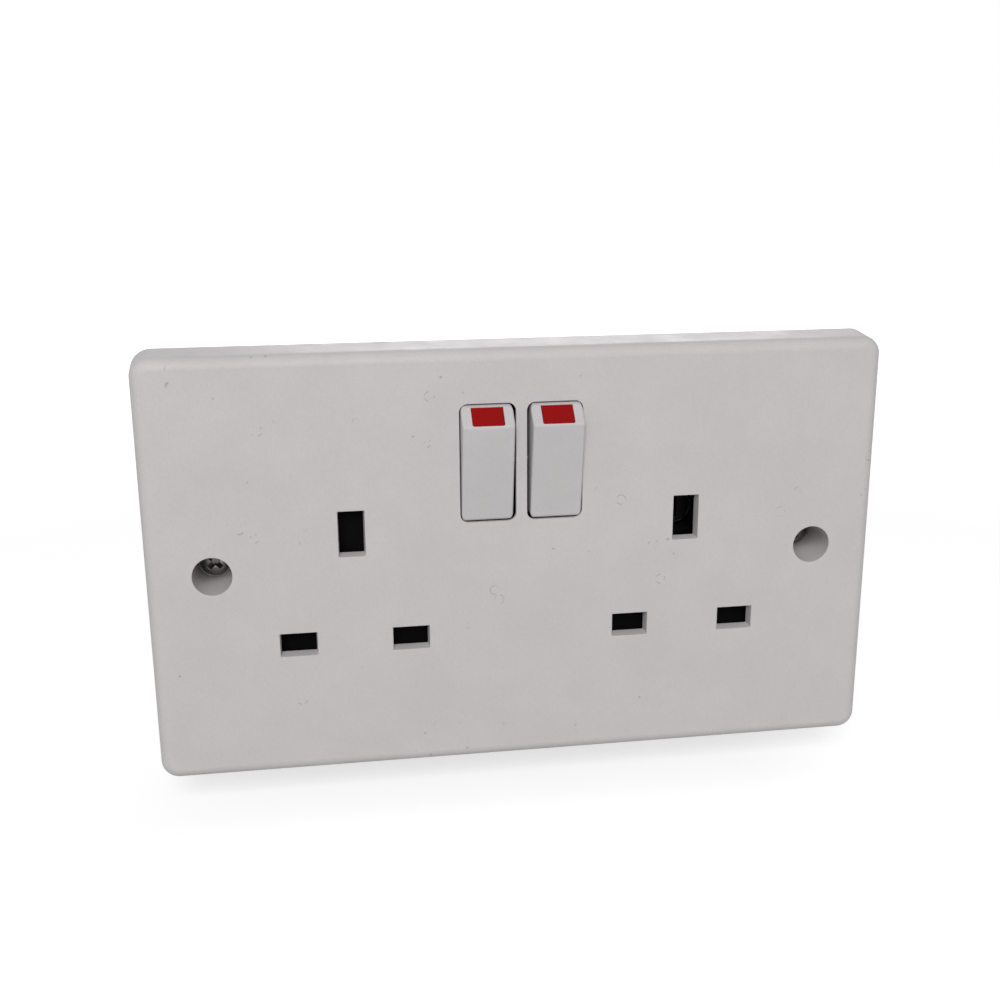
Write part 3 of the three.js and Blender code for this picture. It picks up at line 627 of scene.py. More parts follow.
plate_white = moulded_plastic("plate_white", (0.59, 0.566, 0.57), 0.44)
rocker_white = moulded_plastic("rocker_white", (0.575, 0.555, 0.56), 0.46, wear=0.5)
box_white = moulded_plastic("box_white", (0.58, 0.57, 0.56), 0.55, grain=0.16)
cover_white = moulded_plastic("cover_white", (0.56, 0.555, 0.55), 0.5, grain=0.14)
carrier_black = moulded_plastic(
    "carrier_black", (0.003, 0.003, 0.003), 0.6, dirt=(0.02, 0.02, 0.02), gloss=0.03
)
indicator_red = moulded_plastic(
    "indicator_red", (0.29, 0.004, 0.004), 0.45, wear=0.5, dirt=(0.12, 0.003, 0.004), gloss=0.08
)
nickel = plated_metal("nickel", (0.34, 0.335, 0.32), 0.3)
screw_nickel = plated_metal("screw_nickel", (0.26, 0.255, 0.245), 0.26)
zinc = plated_metal("zinc", (0.42, 0.43, 0.45), 0.36)
# Near-black metal for the lock housing and plug: a blackened finish, made darker still as painted
# shade for the lock deep behind the slot
BLACKENED_AND_SHADED = (0.012, 0.0115, 0.011)
# Painted highlight: a brighter ring on the lock plug's face, standing in for a glint
PAINTED_GLINT_RING = (3.3, 3.6, (0.55, 0.54, 0.52))  # its inner and outer radius, and its colour
dark_zinc = plated_metal("dark_zinc", BLACKENED_AND_SHADED, 0.36)
plug_nickel = plated_metal("plug_nickel", BLACKENED_AND_SHADED, 0.34, PAINTED_GLINT_RING)


# Socket plate
def plate_ring(y, drawn_in, inset, steps=14):
    radius = max(PLATE_CORNER_RADIUS - inset - drawn_in, SMALLEST_CORNER_RADIUS)
    half_width = PLATE_HALF_WIDTH - inset - drawn_in
    half_height = PLATE_HALF_HEIGHT - inset - drawn_in
    outline = rounded(-half_width, half_width, -half_height, half_height, radius, steps)
    return [(x, y, z) for x, z in outline]


def plate_shell():
    edge_start = -PLATE_FRONT - FRONT_EDGE_RADIUS
    edge_draft = DRAFT_SLOPE * edge_start
    rings = [plate_ring(0, 0, 0)]
    steps = 12
    for step in range(steps + 1):
        turn = math.pi / 2 * step / steps
        y = -edge_start - FRONT_EDGE_RADIUS * math.sin(turn)
        rings.append(plate_ring(y, edge_draft + FRONT_EDGE_RADIUS * (1 - math.cos(turn)), 0))
    hollow = [
        plate_ring(PAST, -DRAFT_SLOPE * PAST, RIM_WALL),
        plate_ring(PLATE_BACK, -DRAFT_SLOPE * PLATE_BACK, RIM_WALL),
    ]
    return cut(loft("plate", rings), loft("hollow", hollow))


def slot_cut(x, z, size):
    """What is cut out for a slot, narrower towards the back."""
    rings = []
    for y in (PLATE_FRONT - PAST, PLATE_BACK + PAST):
        lean = SLOT_LEAN * (y - PLATE_FRONT) / PLATE_WALL
        u = size[0] / 2 - lean
        v = size[1] / 2 - lean
        rings.append([(x - u, y, z - v), (x + u, y, z - v), (x + u, y, z + v), (x - u, y, z + v)])
    return loft("slot", rings)


def recess_cuts(side):
    x = side * ROCKER_OFFSET
    half = RECESS_WIDTH / 2
    bottom = PIVOT_Z - RECESS_HEIGHT / 2
    top = PIVOT_Z + RECESS_HEIGHT / 2
    opening = rounded(x - half, x + half, bottom, top, RECESS_CORNER_RADIUS)
    relief = block(
        (x - half - RECESS_STEP, PLATE_FRONT + RECESS_LIP, PIVOT_Z - POCKET_RADIUS),
        (x + half + RECESS_STEP, PLATE_BACK + PAST, PIVOT_Z + POCKET_RADIUS),
    )
    return [slab_y(opening, PLATE_FRONT - PAST, PLATE_BACK + PAST), relief]


def hinge_ears(side):
    x = side * LUG_X
    web = block(
        (x - EAR_OUTER, PLATE_BACK - GAP, -PLATE_HALF_HEIGHT + RIM_WALL / 2),
        (x + EAR_OUTER, HINGE_Y, HINGE_Z + KNUCKLE_RADIUS),
    )
    return [rod("x", KNUCKLE_RADIUS, x - EAR_OUTER, x + EAR_OUTER, HINGE_CENTRE), web]


def hinge_notch(side):
    x = side * LUG_X
    reach = EAR_OUTER + PAST
    return [
        block(
            (x - EAR_INNER, PLATE_BACK, -PLATE_HALF_HEIGHT - PAST),
            (x + EAR_INNER, PAST, HINGE_Z + KNUCKLE_RADIUS + PAST),
        ),
        rod("x", HINGE_PIN_RADIUS + GAP, x - reach, x + reach, HINGE_CENTRE, SMALL_SIDES),
    ]


def edge_roll():
    """What is cut off the back of the bottom edge, so that it can roll past the wall."""
    reach = PLATE_HALF_WIDTH + PAST
    corner = block((-reach, HINGE_Y, -PLATE_HALF_HEIGHT - PAST), (reach, PAST, HINGE_Z))
    return cut(corner, rod("x", ROLL_RADIUS, -reach - PAST, reach + PAST, HINGE_CENTRE, FINE_SIDES))


COVER_SCREW_X = cover_high.x - COVER_SCREW_INSET_X
COVER_SCREW_PLACES = {
    "upper_left": (-COVER_SCREW_X, cover_high.z - COVER_SCREW_INSET_Z),
    "upper_right": (COVER_SCREW_X, cover_high.z - COVER_SCREW_INSET_Z),
    "lower_left": (-COVER_SCREW_X, cover_low.z + COVER_SCREW_INSET_Z),
    "lower_right": (COVER_SCREW_X, cover_low.z + COVER_SCREW_INSET_Z),
}


def faceplate():
    plate = plate_shell()
    additions = []
    for _, side in SIDES:
        centre = (side * FACE_SCREW_X, 0)
        additions += [rod("y", BOSS_RADIUS, PLATE_BACK - GAP, BOSS_BACK, centre), *hinge_ears(side)]
    for centre in COVER_SCREW_PLACES.values():
        additions.append(rod("y", POST_RADIUS, PLATE_BACK - GAP, cover_low.y - GAP, centre))
    join(plate, *additions)
    cuts = [edge_roll()]
    for centre in COVER_SCREW_PLACES.values():
        cuts.append(rod("y", COVER_SCREW_RADIUS + GAP, PLATE_BACK + GAP, PAST, centre, SMALL_SIDES))
    hole_floor = SCREW_HEAD_FRONT + SCREW_HEAD_THICKNESS + GAP
    for _, side in SIDES:
        x = side * SOCKET_X
        centre = (side * FACE_SCREW_X, 0)
        cuts += [
            slot_cut(x, EARTH_SLOT_Z, EARTH_SLOT),
            slot_cut(x - SIDE_SLOT_OFFSET, SIDE_SLOT_Z, SIDE_SLOT),
            slot_cut(x + SIDE_SLOT_OFFSET, SIDE_SLOT_Z, SIDE_SLOT),
            *recess_cuts(side),
            *hinge_notch(side),
            rod("y", FACE_HOLE_RADIUS, PLATE_FRONT - PAST, hole_floor, centre, FINE_SIDES),
            rod("y", SCREW_SHANK_RADIUS + GAP, hole_floor - GAP, BOSS_BACK + PAST, centre),
        ]
    return soften(cut(plate, *cuts), PLATE_EDGE)


# Screws, with the forms of their heads as shares of the head's thickness and radius
PAN_HEAD = ((0.0, 0.5), (0.06, 0.72), (0.15, 0.87), (0.28, 0.96), (0.46, 1.0), (1.0, 1.0))
CROSS_LENGTH = 0.6
CROSS_WIDTH = 0.16
CROSS_DEPTH = 0.62
CROSS_TAPER = 0.45
CROSS_WIDTH_TAPER = 0.3


def cross_screw(head_radius, head_thickness, shank_radius, length):
    """A pan-head screw at the origin, its head towards -Y with a tapering cross recess."""
    profile = [(along * head_thickness, radius * head_radius) for along, radius in PAN_HEAD]
    screw = join(
        spin("y", profile, sides=FINE_SIDES),
        rod("y", shank_radius, head_thickness / 2, length),
    )
    half_length = head_radius * CROSS_LENGTH
    half_width = head_radius * CROSS_WIDTH
    for long_axis in ("x", "z"):
        rings = []
        for y, shrink in ((-PAST, 1.0), (0.0, 1.0), (head_thickness * CROSS_DEPTH, CROSS_TAPER)):
            u = half_length * shrink
            v = half_width * (1 - CROSS_WIDTH_TAPER * (1 - shrink))
            ring = [(-u, -v), (u, -v), (u, v), (-u, v)]
            rings.append([(a, y, b) if long_axis == "x" else (b, y, a) for a, b in ring])
        cut(screw, loft("blade", rings))
    return soften(screw, SCREW_EDGE)


def place_screw(screw, centre, y, turn, backwards=False):
    """Moves a screw's mesh to its place, turned about its own axis."""
    spun = Matrix.Rotation(math.radians(turn), 4, "Y")
    if backwards:
        spun = Matrix.Rotation(math.pi, 4, "Z") @ spun
    x, z = centre
    screw.data.transform(Matrix.Translation(Vector((x, y, z)) * MM) @ spun)
    return screw


def face_screw(name, side):
    length = BOSS_BACK - SCREW_HEAD_FRONT - GAP
    screw = cross_screw(SCREW_HEAD_RADIUS, SCREW_HEAD_THICKNESS, SCREW_SHANK_RADIUS, length)
    return place_screw(screw, (side * FACE_SCREW_X, 0), SCREW_HEAD_FRONT, FACE_SCREW_TURNS[name])


def cover_screw(number, centre):
    screw = cross_screw(
        COVER_SCREW_HEAD_RADIUS, COVER_SCREW_HEAD_THICKNESS, COVER_SCREW_RADIUS, COVER_SCREW_LENGTH
    )
    head = cover_high.y + GAP + COVER_SCREW_HEAD_THICKNESS
    turn = COVER_SCREW_TURN + COVER_SCREW_TURN_STEP * number
    return place_screw(screw, centre, head, turn, backwards=True)


# Rockers, made about their pivot
RIDGE = Vector((-PIVOT_DEPTH - ROCKER_RIDGE_HEIGHT, RECESS_HEIGHT / 2 - ROCKER_RIDGE_FROM_TOP))
FACET_END = Vector((-PIVOT_DEPTH, ROCKER_END_HEIGHT))


def on_facet(along, depth):
    """A point a distance along the upper facet from the ridge, and a depth below it."""
    direction = (FACET_END - RIDGE).normalized()
    inward = Vector((direction.y, -direction.x))
    point = RIDGE + direction * along + inward * depth
    return point.x, point.y


def indicator_slab(inset, depth, half_width, proud, name):
    """A slab set into the upper facet, with its two corners at the ridge rounded."""
    far = (FACET_END - RIDGE).length - inset
    middle = half_width - INDICATOR_CORNER
    near = inset + INDICATOR_CORNER
    outline = [
        *arc((middle, near), INDICATOR_CORNER, -90, 0, 5),
        (half_width, far),
        (-half_width, far),
        *arc((-middle, near), INDICATOR_CORNER, 180, 270, 5),
    ]
    rings = [[(x, *on_facet(along, level)) for x, along in outline] for level in (-proud, depth)]
    return loft(name, rings)


def softened(line, reach, steps=5):
    """A bent line whose corners are replaced by short curves."""
    smooth = [Vector(line[0])]
    for before, corner, after in zip(line, line[1:], line[2:]):
        middle = Vector(corner)
        start = middle + (Vector(before) - middle).normalized() * reach
        end = middle + (Vector(after) - middle).normalized() * reach
        for step in range(steps + 1):
            share = step / steps
            left = 1 - share
            smooth.append(start * left**2 + middle * 2 * share * left + end * share**2)
    smooth.append(Vector(line[-1]))
    return smooth


def height_at(line, place):
    """The height of a bent line at a place along it."""
    for (near, low), (far, high) in zip(line, line[1:]):
        if near <= place <= far:
            return low + (high - low) * (place - near) / (far - near)
    return line[-1].y


def rocker():
    """Cross sections laid along Z: a soft ridge, round corners, soft edges and a keel behind."""
    end = ROCKER_END_RADIUS
    half_width = RECESS_WIDTH / 2 - ROCKER_SIDE_GAP
    corner = ROCKER_CORNER_RADIUS
    corner_start = end + ROCKER_SWEEP_GAP - corner
    front_turn = math.degrees(math.atan2(ROCKER_END_HEIGHT, -PIVOT_DEPTH))
    lower = [(z, y) for y, z in arc((0, 0), end, -91, -front_turn, 4)]
    upper = [(z, y) for y, z in arc((0, 0), end, front_turn, 91, 4)]
    front = softened([*lower, (RIDGE.y, RIDGE.x), *upper], ROCKER_EDGE_RADIUS)
    keel = KEEL_WIDTH / 2
    keel_back = ROCKER_BODY_DEPTH + KEEL_DEPTH
    back = [(-end, ROCKER_BODY_DEPTH), (-keel, ROCKER_BODY_DEPTH), (-keel / 2, keel_back)]
    back += [(-z, y) for z, y in reversed(back)]
    top = front[-1].x
    steps = ROCKER_CORNER_STEPS
    corner_places = [corner_start + (top - corner_start) * step / steps for step in range(steps)]
    places = [point.x for point in front] + [z for z, _ in back[1:-1]]
    places += corner_places + [-z for z in corner_places]
    rings = []
    last = -end - PAST
    for z in sorted(places):
        if z - last < SAME_PLACE:
            continue
        last = z
        past_corner = max(abs(z) - corner_start, 0)
        width = half_width - corner + math.sqrt(corner**2 - past_corner**2)
        near = height_at(front, z)
        far = min(height_at(back, z), math.sqrt(end**2 - z**2))
        edge = min(ROCKER_EDGE_RADIUS, (far - near) / 3)
        right = arc((width - edge, near + edge), edge, 0, -90, 5)
        left = [(-x, y) for x, y in reversed(right)]
        rings.append([(x, y, z) for x, y in [(width, far), *right, *left, (-width, far)]])
    return cut(
        loft("rocker", rings),
        rod("x", ROCKER_PIN_RADIUS + GAP, -RECESS_WIDTH, RECESS_WIDTH, sides=SMALL_SIDES),
        indicator_slab(INDICATOR_EDGE, INDICATOR_THICKNESS, INDICATOR_WIDTH / 2, PAST, "pocket"),
    )


def indicator():
    edge = INDICATOR_EDGE + INDICATOR_GAP
    depth = INDICATOR_THICKNESS - INDICATOR_FLOOR_GAP
    half_width = INDICATOR_WIDTH / 2 - INDICATOR_GAP
    return soften(indicator_slab(edge, depth, half_width, 0, "indicator"), MARKER_EDGE)


def about_pivot(piece, side):
    middle = side * (ROCKER_OFFSET + ROCKER_PLAY)
    piece.data.transform(Matrix.Translation(Vector((middle, PIVOT_Y, PIVOT_Z)) * MM))
    return piece


# Carrier of the rockers, and what lies behind the plate
def switch_carrier():
    centre = (PIVOT_Y, PIVOT_Z)
    half = CARRIER_HALF_WIDTH
    flange_back = cover_low.y - GAP

    def band(y0, y1, reach):
        tall = 2 * CARRIER_RADIUS
        return block((-reach, y0, PIVOT_Z - tall), (reach, y1, PIVOT_Z + tall))

    pod = keep_inside(
        rod("x", CARRIER_RADIUS, -half, half, centre, CARRIER_SIDES),
        band(carrier_low.y, carrier_high.y, half + PAST),
    )
    reach = CARRIER_FLANGE_HALF_HEIGHT
    flange = block(
        (carrier_low.x, flange_back - CARRIER_FLANGE_THICKNESS, PIVOT_Z - reach),
        (carrier_high.x, flange_back, PIVOT_Z + reach),
    )
    join(pod, flange)
    cuts = []
    mouth = carrier_low.y - PAST
    floor = carrier_high.y - CARRIER_FLOOR
    for _, side in SIDES:
        start = side * ROCKER_OFFSET - RECESS_WIDTH / 2
        pocket = rod("x", POCKET_RADIUS, start, start + RECESS_WIDTH, centre, CARRIER_SIDES)
        cuts.append(keep_inside(pocket, band(mouth, floor, 2 * half)))
    radius = ROCKER_PIN_RADIUS + GAP
    cradle = [
        (mouth, PIVOT_Z - radius),
        *arc(centre, radius, -90, 90, 12),
        (mouth, PIVOT_Z + radius),
    ]
    cuts.append(slab_x(cradle, -half - PAST, half + PAST))
    return soften(cut(pod, *cuts), CARRIER_EDGE)


def slot_backing(name):
    backing = block(*corners(f"slot_backing_{name}"))
    if name == "right":
        cut(backing, rod("y", LOCK_HEAD_RADIUS + GAP, PLATE_FRONT, PAST, LOCK_CENTRE))
    return soften(backing, SHEET_EDGE)


def inner_cover():
    outline = rounded(cover_low.x, cover_high.x, cover_low.z, cover_high.z, COVER_CORNER_RADIUS)
    front = cover_low.y - PAST
    back = cover_high.y + PAST
    window = CARRIER_HALF_WIDTH + GAP
    holes = [
        rod("y", COVER_SCREW_RADIUS + MOVING_GAP, front, back, centre, HOLE_SIDES)
        for centre in COVER_SCREW_PLACES.values()
    ]
    for _, side in SIDES:
        holes.append(rod("y", BOSS_RADIUS + GAP, front, back, (side * FACE_SCREW_X, 0)))
    holes.append(rod("y", LOCK_BARREL_RADIUS + GAP, front, back, LOCK_CENTRE))
    holes.append(
        block((-window, front, PIVOT_Z - CARRIER_RADIUS - GAP), (window, back, cover_high.z + PAST))
    )
    return soften(cut(slab_y(outline, cover_low.y, cover_high.y, "cover"), *holes), SHEET_EDGE)


def straight_pin(node):
    """A pin along X with a small chamfer at each end."""
    low, high = corners(node)
    radius = (high.z - low.z) / 2
    chamfer = radius / 4
    profile = [
        (low.x, radius - chamfer),
        (low.x + chamfer, radius),
        (high.x - chamfer, radius),
        (high.x, radius - chamfer),
    ]
    return spin("x", profile, ((low.y + high.y) / 2, (low.z + high.z) / 2), PIN_SIDES)


# Lock, on its own axis
def lock_housing():
    front = housing_low.y
    end = housing_high.y
    shoulder = front + LOCK_HEAD_THICKNESS
    chamfer = THREAD_DEPTH
    root = LOCK_BARREL_RADIUS - THREAD_DEPTH
    thread_start = cover_high.y
    profile = [
        (front, LOCK_HEAD_RADIUS - chamfer),
        (front + chamfer, LOCK_HEAD_RADIUS),
        (shoulder, LOCK_HEAD_RADIUS),
        (shoulder, LOCK_BARREL_RADIUS),
        (thread_start, LOCK_BARREL_RADIUS),
    ]
    thread = ((0.4, root), (0.55, root), (0.95, LOCK_BARREL_RADIUS))
    for turn in range(int((end - thread_start) / THREAD_PITCH)):
        start = thread_start + turn * THREAD_PITCH
        profile += [(start + share * THREAD_PITCH, radius) for share, radius in thread]
    profile.append((end, root))
    plug_seat = plug_low.y + PLUG_HEAD_THICKNESS + GAP
    return cut(
        spin("y", profile, LOCK_CENTRE, FINE_SIDES),
        rod("y", PLUG_HEAD_RADIUS + GAP, front - PAST, plug_seat, LOCK_CENTRE, FINE_SIDES),
        rod("y", PLUG_RADIUS + GAP, front, end + PAST, LOCK_CENTRE, FINE_SIDES),
    )


def lock_nut():
    """A six-sided nut whose corners are turned down at both faces."""
    half_x = (nut_high.x - nut_low.x) / 2
    half_z = (nut_high.z - nut_low.z) / 2
    radius = max(half_x, half_z)
    first = 0 if half_x > half_z else 30
    turns = (math.radians(first + 60 * i) for i in range(6))
    outline = [
        (LOCK_X + radius * math.cos(turn), LOCK_Z + radius * math.sin(turn))
        for turn in turns
    ]
    chamfer = radius * NUT_CHAMFER
    middle = (nut_low.y + nut_high.y) / 2
    turned = [
        (nut_low.y - GAP, radius - 2 * chamfer),
        (middle - chamfer / 2, radius + chamfer),
        (middle + chamfer / 2, radius + chamfer),
        (nut_high.y + GAP, radius - 2 * chamfer),
    ]
    shape = spin("y", turned, LOCK_CENTRE, FINE_SIDES)
    nut = keep_inside(slab_y(outline, nut_low.y, nut_high.y), shape)
    start = nut_low.y - PAST
    bore = rod("y", LOCK_BARREL_RADIUS + GAP, start, nut_high.y + PAST, LOCK_CENTRE, FINE_SIDES)
    return soften(cut(nut, bore), NUT_EDGE)


def lock_plug():
    front = plug_low.y
    back = plug_high.y
    tang_front = cam_low.y - MOVING_GAP
    neck = front + PLUG_HEAD_THICKNESS / 2
    head = [
        (front, PLUG_HEAD_RADIUS - PLUG_CHAMFER),
        (front + PLUG_CHAMFER / 2, PLUG_HEAD_RADIUS),
        (front + PLUG_HEAD_THICKNESS, PLUG_HEAD_RADIUS),
    ]
    tang = keep_inside(
        block(
            (LOCK_X - TANG_HALF, tang_front, LOCK_Z - TANG_HALF),
            (LOCK_X + TANG_HALF, back, LOCK_Z + TANG_HALF),
        ),
        rod("y", TANG_CORNER_RADIUS, front, back + PAST, LOCK_CENTRE, FINE_SIDES),
    )
    plug = join(
        spin("y", head, LOCK_CENTRE, FINE_SIDES),
        rod("y", PLUG_RADIUS, neck, tang_front + GAP / 2, LOCK_CENTRE, FINE_SIDES),
        tang,
    )
    cut(
        plug,
        block(
            (LOCK_X - KEYWAY_WIDTH / 2, front - PAST, LOCK_Z - KEYWAY_LENGTH / 2),
            (LOCK_X + KEYWAY_WIDTH / 2, front + KEYWAY_DEPTH, LOCK_Z + KEYWAY_LENGTH / 2),
        ),
        rod("y", CAM_SCREW_RADIUS + GAP, back - CAM_HOLE_DEPTH, back + PAST, LOCK_CENTRE, HOLE_SIDES),
    )
    return soften(plug, PLUG_EDGE)


def lock_cam():
    wide = (cam_high.z - cam_low.z) / 2
    tip = cam_low.x + CAM_TIP_WIDTH / 2
    outline = [
        *arc(LOCK_CENTRE, wide, -90, 90, 32),
        *arc((tip, LOCK_Z), CAM_TIP_WIDTH / 2, 90, 270, 24),
    ]
    hole = TANG_HALF + GAP
    square = block(
        (LOCK_X - hole, cam_low.y - PAST, LOCK_Z - hole),
        (LOCK_X + hole, cam_high.y + PAST, LOCK_Z + hole),
    )
    return soften(cut(slab_y(outline, cam_low.y, cam_high.y), square), CAM_EDGE)


def cam_screw():
    low, high = corners("cam_screw")
    length = high.y - low.y
    screw = cross_screw(CAM_SCREW_HEAD_RADIUS, CAM_SCREW_HEAD_THICKNESS, CAM_SCREW_RADIUS, length)
    return place_screw(screw, LOCK_CENTRE, high.y, CAM_SCREW_TURN, backwards=True)


# Box in the wall, with its flange, hinge lugs and keeper
def hinge_lug(side):
    x = side * LUG_X
    arm = [
        (HINGE_Y, HINGE_Z + KNUCKLE_RADIUS),
        (-FLANGE_THICKNESS, BOX_BOTTOM + BOX_WALL / 2),
        (0, BOX_BOTTOM + BOX_WALL / 2),
        (0, HINGE_Z),
        (HINGE_Y, HINGE_Z - KNUCKLE_RADIUS),
    ]
    return [
        rod("x", KNUCKLE_RADIUS, x - LUG_HALF, x + LUG_HALF, HINGE_CENTRE),
        slab_x(arm, x - LUG_HALF, x + LUG_HALF),
    ]


def rivet_hole(side, bottom, top):
    centre = (LOCK_X + side * RIVET_SPACING / 2, RIVET_Y)
    return rod("z", RIVET_RADIUS + GAP, bottom, top, centre, HOLE_SIDES)


def wall_box():
    back = box_high.y
    flange_half = box_high.x
    shell = rounded(-BOX_HALF_WIDTH, BOX_HALF_WIDTH, BOX_BOTTOM, BOX_TOP, BOX_CORNER_RADIUS)
    flange_corner = PLATE_CORNER_RADIUS - RIM_WALL
    flange = rounded(-flange_half, flange_half, BOX_BOTTOM, box_high.z, flange_corner)
    room = rounded(
        -BOX_HALF_WIDTH + BOX_WALL,
        BOX_HALF_WIDTH - BOX_WALL,
        BOX_BOTTOM + BOX_WALL,
        BOX_TOP - BOX_WALL,
        BOX_CORNER_RADIUS - BOX_WALL,
    )
    box = join(slab_y(shell, -FLANGE_THICKNESS, back), slab_y(flange, -FLANGE_THICKNESS, 0))
    cut(box, slab_y(room, -FLANGE_THICKNESS - PAST, back - BOX_WALL))
    join(box, *hinge_lug(-1), *hinge_lug(1))
    cuts = []
    for _, side in SIDES:
        x = side * LUG_X
        reach = LUG_HALF + PAST
        fixing = (side * FIXING_HOLE_X, 0)
        cuts += [
            rod("x", HINGE_PIN_RADIUS + GAP, x - reach, x + reach, HINGE_CENTRE, SMALL_SIDES),
            rod("y", FIXING_HOLE_RADIUS, back - BOX_WALL - PAST, back + PAST, fixing),
            rivet_hole(side, BOX_TOP - BOX_WALL - PAST, BOX_TOP + PAST),
        ]
    return soften(cut(box, *cuts), BOX_EDGE, at_wall=False)


def keeper_plate():
    front, back = keeper_low.y, keeper_high.y
    top = keeper_high.z
    profile = [
        (front, top),
        (front, top - KEEPER_THICKNESS),
        (back - KEEPER_THICKNESS, top - KEEPER_THICKNESS),
        (back - KEEPER_THICKNESS, keeper_low.z),
        (back, keeper_low.z),
        (back, top),
    ]
    keeper = slab_x(profile, keeper_low.x, keeper_high.x)
    holes = [rivet_hole(side, keeper_low.z, top + PAST) for _, side in SIDES]
    return soften(cut(keeper, *holes), SHEET_EDGE)


def keeper_rivet(node):
    low, high = corners(node)
    centre = ((low.x + high.x) / 2, RIVET_Y)
    thick = RIVET_HEAD_THICKNESS
    dome = [(along * thick, radius * RIVET_HEAD_RADIUS) for along, radius in RIVET_HEAD]
    profile = [(low.z + along, radius) for along, radius in dome]
    profile += [(low.z + thick, RIVET_RADIUS), (high.z - thick, RIVET_RADIUS)]
    profile += [(high.z - along, radius) for along, radius in reversed(dome)]
    return spin("z", profile, centre)


# Assembly of the fine pieces
dress(wall_box(), "wall_box", box_white)
dress(keeper_plate(), "keeper_plate", zinc)
dress(faceplate(), "faceplate", plate_white)
dress(inner_cover(), "inner_cover", cover_white)
dress(switch_carrier(), "switch_carrier", carrier_black)
dress(lock_housing(), "lock_housing", dark_zinc)
dress(lock_nut(), "lock_nut", nickel)
dress(lock_plug(), "lock_plug", plug_nickel)
dress(lock_cam(), "lock_cam", zinc)
dress(cam_screw(), "cam_screw", zinc)
for name, side in SIDES:
    dress(keeper_rivet(f"keeper_rivet_{name}"), f"keeper_rivet_{name}", zinc)
    dress(straight_pin(f"hinge_pin_{name}"), f"hinge_pin_{name}", zinc)
    dress(straight_pin(f"rocker_pin_{name}"), f"rocker_pin_{name}", zinc)
    dress(face_screw(name, side), f"face_screw_{name}", screw_nickel)
    dress(slot_backing(name), f"slot_backing_{name}", carrier_black)
    dress(about_pivot(rocker(), side), f"rocker_{name}", rocker_white)
    dress(about_pivot(indicator(), side), f"indicator_{name}", indicator_red)
    spring = frame["nodes"][f"detent_spring_{name}"]
    spring.data.materials.clear()
    spring.data.materials.append(zinc)
for number, (name, centre) in enumerate(COVER_SCREW_PLACES.items()):
    dress(cover_screw(number, centre), f"cover_screw_{name}", zinc)


# Camera
def add_camera():
    data = bpy.data.cameras.new("camera")
    data.lens = LENS
    data.sensor_width = SENSOR
    data.clip_start = CLIP_START
    camera = bpy.data.objects.new("camera", data)
    bpy.context.scene.collection.objects.link(camera)
    turn = (
        Matrix.Rotation(math.radians(CAMERA_TURN), 4, "Z")
        @ Matrix.Rotation(math.radians(90 - CAMERA_DROP), 4, "X")
        @ Matrix.Rotation(math.radians(CAMERA_ROLL), 4, "Z")
    )
    camera.matrix_world = Matrix.Translation(Vector(CAMERA_PLACE) * MM) @ turn
    bpy.context.scene.camera = camera


# Lights, floor and background, in metres
FLOOR_HEIGHT = -0.052
FLOOR_REACH = 6.0
FLOOR_COLOUR = 0.6
FLOOR_GLOW = 0.6
GLOW_RISES_FROM = 0.25
GLOW_IS_WHITE_AT = 0.7
WORLD_LEVEL = 0.26

# Each light's place, size and power in watts
LIGHTS = {
    "key": ((-0.3, -1.8, 1.15), (0.9, 0.9), 32.8),
    "behind": ((0.4, 2.0, 0.8), (1.0, 1.0), 11.0),
}


def add_light(name, place, size, power):
    """A soft rectangular light, aimed at the object."""
    data = bpy.data.lights.new(name, "AREA")
    data.shape = "RECTANGLE"
    data.size, data.size_y = size
    data.energy = power
    light = bpy.data.objects.new(name, data)
    bpy.context.scene.collection.objects.link(light)
    aim = (-Vector(place)).to_track_quat("-Z", "Y")
    light.matrix_world = Matrix.Translation(Vector(place)) @ aim.to_matrix().to_4x4()


def seen_directly(tree):
    """One where the camera, a gloss or a clear surface sees it, zero where it only lights things."""
    path = tree.nodes.new("ShaderNodeLightPath")
    gloss = tree.nodes.new("ShaderNodeMath")
    gloss.operation = "MAXIMUM"
    both = tree.nodes.new("ShaderNodeMath")
    both.operation = "MAXIMUM"
    tree.links.new(path.outputs["Is Glossy Ray"], gloss.inputs[0])
    tree.links.new(path.outputs["Is Transmission Ray"], gloss.inputs[1])
    tree.links.new(path.outputs["Is Camera Ray"], both.inputs[0])
    tree.links.new(gloss.outputs["Value"], both.inputs[1])
    return both.outputs["Value"]


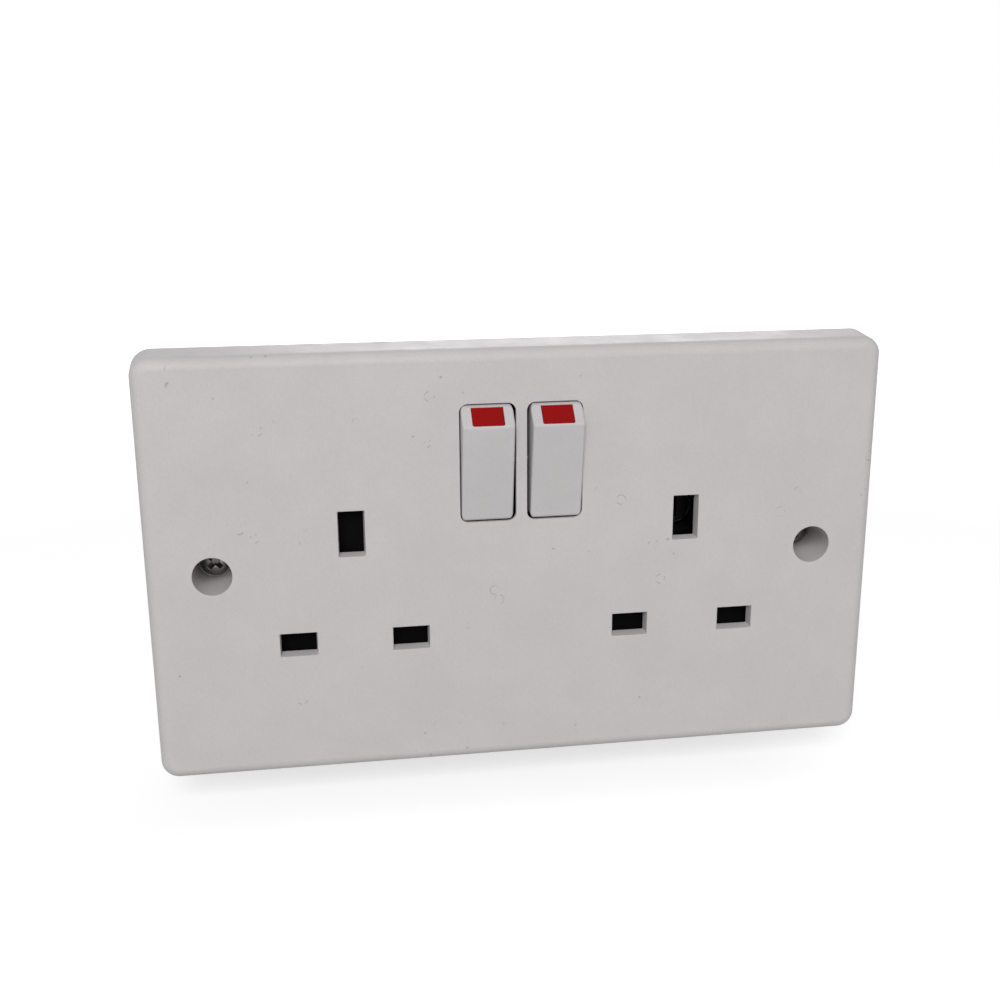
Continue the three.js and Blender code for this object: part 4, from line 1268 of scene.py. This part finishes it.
def add_floor():
    """A pale floor whose glow brings it to white round the object's soft shadow."""
    reach = FLOOR_REACH / MM
    height = FLOOR_HEIGHT / MM
    flat = [(-reach, -reach), (reach, -reach), (reach, reach), (-reach, reach)]
    floor = new_object("floor", [(x, y, height) for x, y in flat], [[0, 1, 2, 3]])
    nodes = Nodes("floor_white")
    grey = (FLOOR_COLOUR, FLOOR_COLOUR, FLOOR_COLOUR, 1)
    nodes.set(Base_Color=grey, Roughness=0.9, Specular_IOR_Level=0.0)
    distance = nodes.add("ShaderNodeVectorMath", operation="LENGTH")
    nodes.link(nodes.place, distance.inputs[0])
    glow = nodes.add("ShaderNodeEmission")
    away = distance.outputs["Value"]
    brightness = nodes.spread(away, GLOW_RISES_FROM, GLOW_IS_WHITE_AT, FLOOR_GLOW, 1.0)
    strength = nodes.maths("MULTIPLY", brightness, seen_directly(nodes.tree))
    nodes.link(strength, glow.inputs["Strength"])
    total = nodes.add("ShaderNodeAddShader")
    nodes.link(nodes.shader.outputs["BSDF"], total.inputs[0])
    nodes.link(glow.outputs["Emission"], total.inputs[1])
    nodes.link(total.outputs["Shader"], nodes.tree.nodes["Material Output"].inputs["Surface"])
    floor.data.materials.append(nodes.material)


def add_world(level):
    """Even light at a level, behind which the camera and gloss see plain white."""
    world = bpy.data.worlds.new("world")
    bpy.context.scene.world = world
    world.use_nodes = True
    tree = world.node_tree
    tree.nodes.clear()
    output = tree.nodes.new("ShaderNodeOutputWorld")
    mix = tree.nodes.new("ShaderNodeMixShader")
    tree.links.new(seen_directly(tree), mix.inputs[0])
    for socket, strength in ((1, level), (2, 1.0)):
        light = tree.nodes.new("ShaderNodeBackground")
        light.inputs["Color"].default_value = (1, 1, 1, 1)
        light.inputs["Strength"].default_value = strength
        tree.links.new(light.outputs["Background"], mix.inputs[socket])
    tree.links.new(mix.outputs["Shader"], output.inputs["Surface"])


add_camera()
add_floor()
add_world(WORLD_LEVEL)
for name, (place, size, power) in LIGHTS.items():
    add_light(name, place, size, power)

bpy.context.scene.view_settings.view_transform = "Standard"
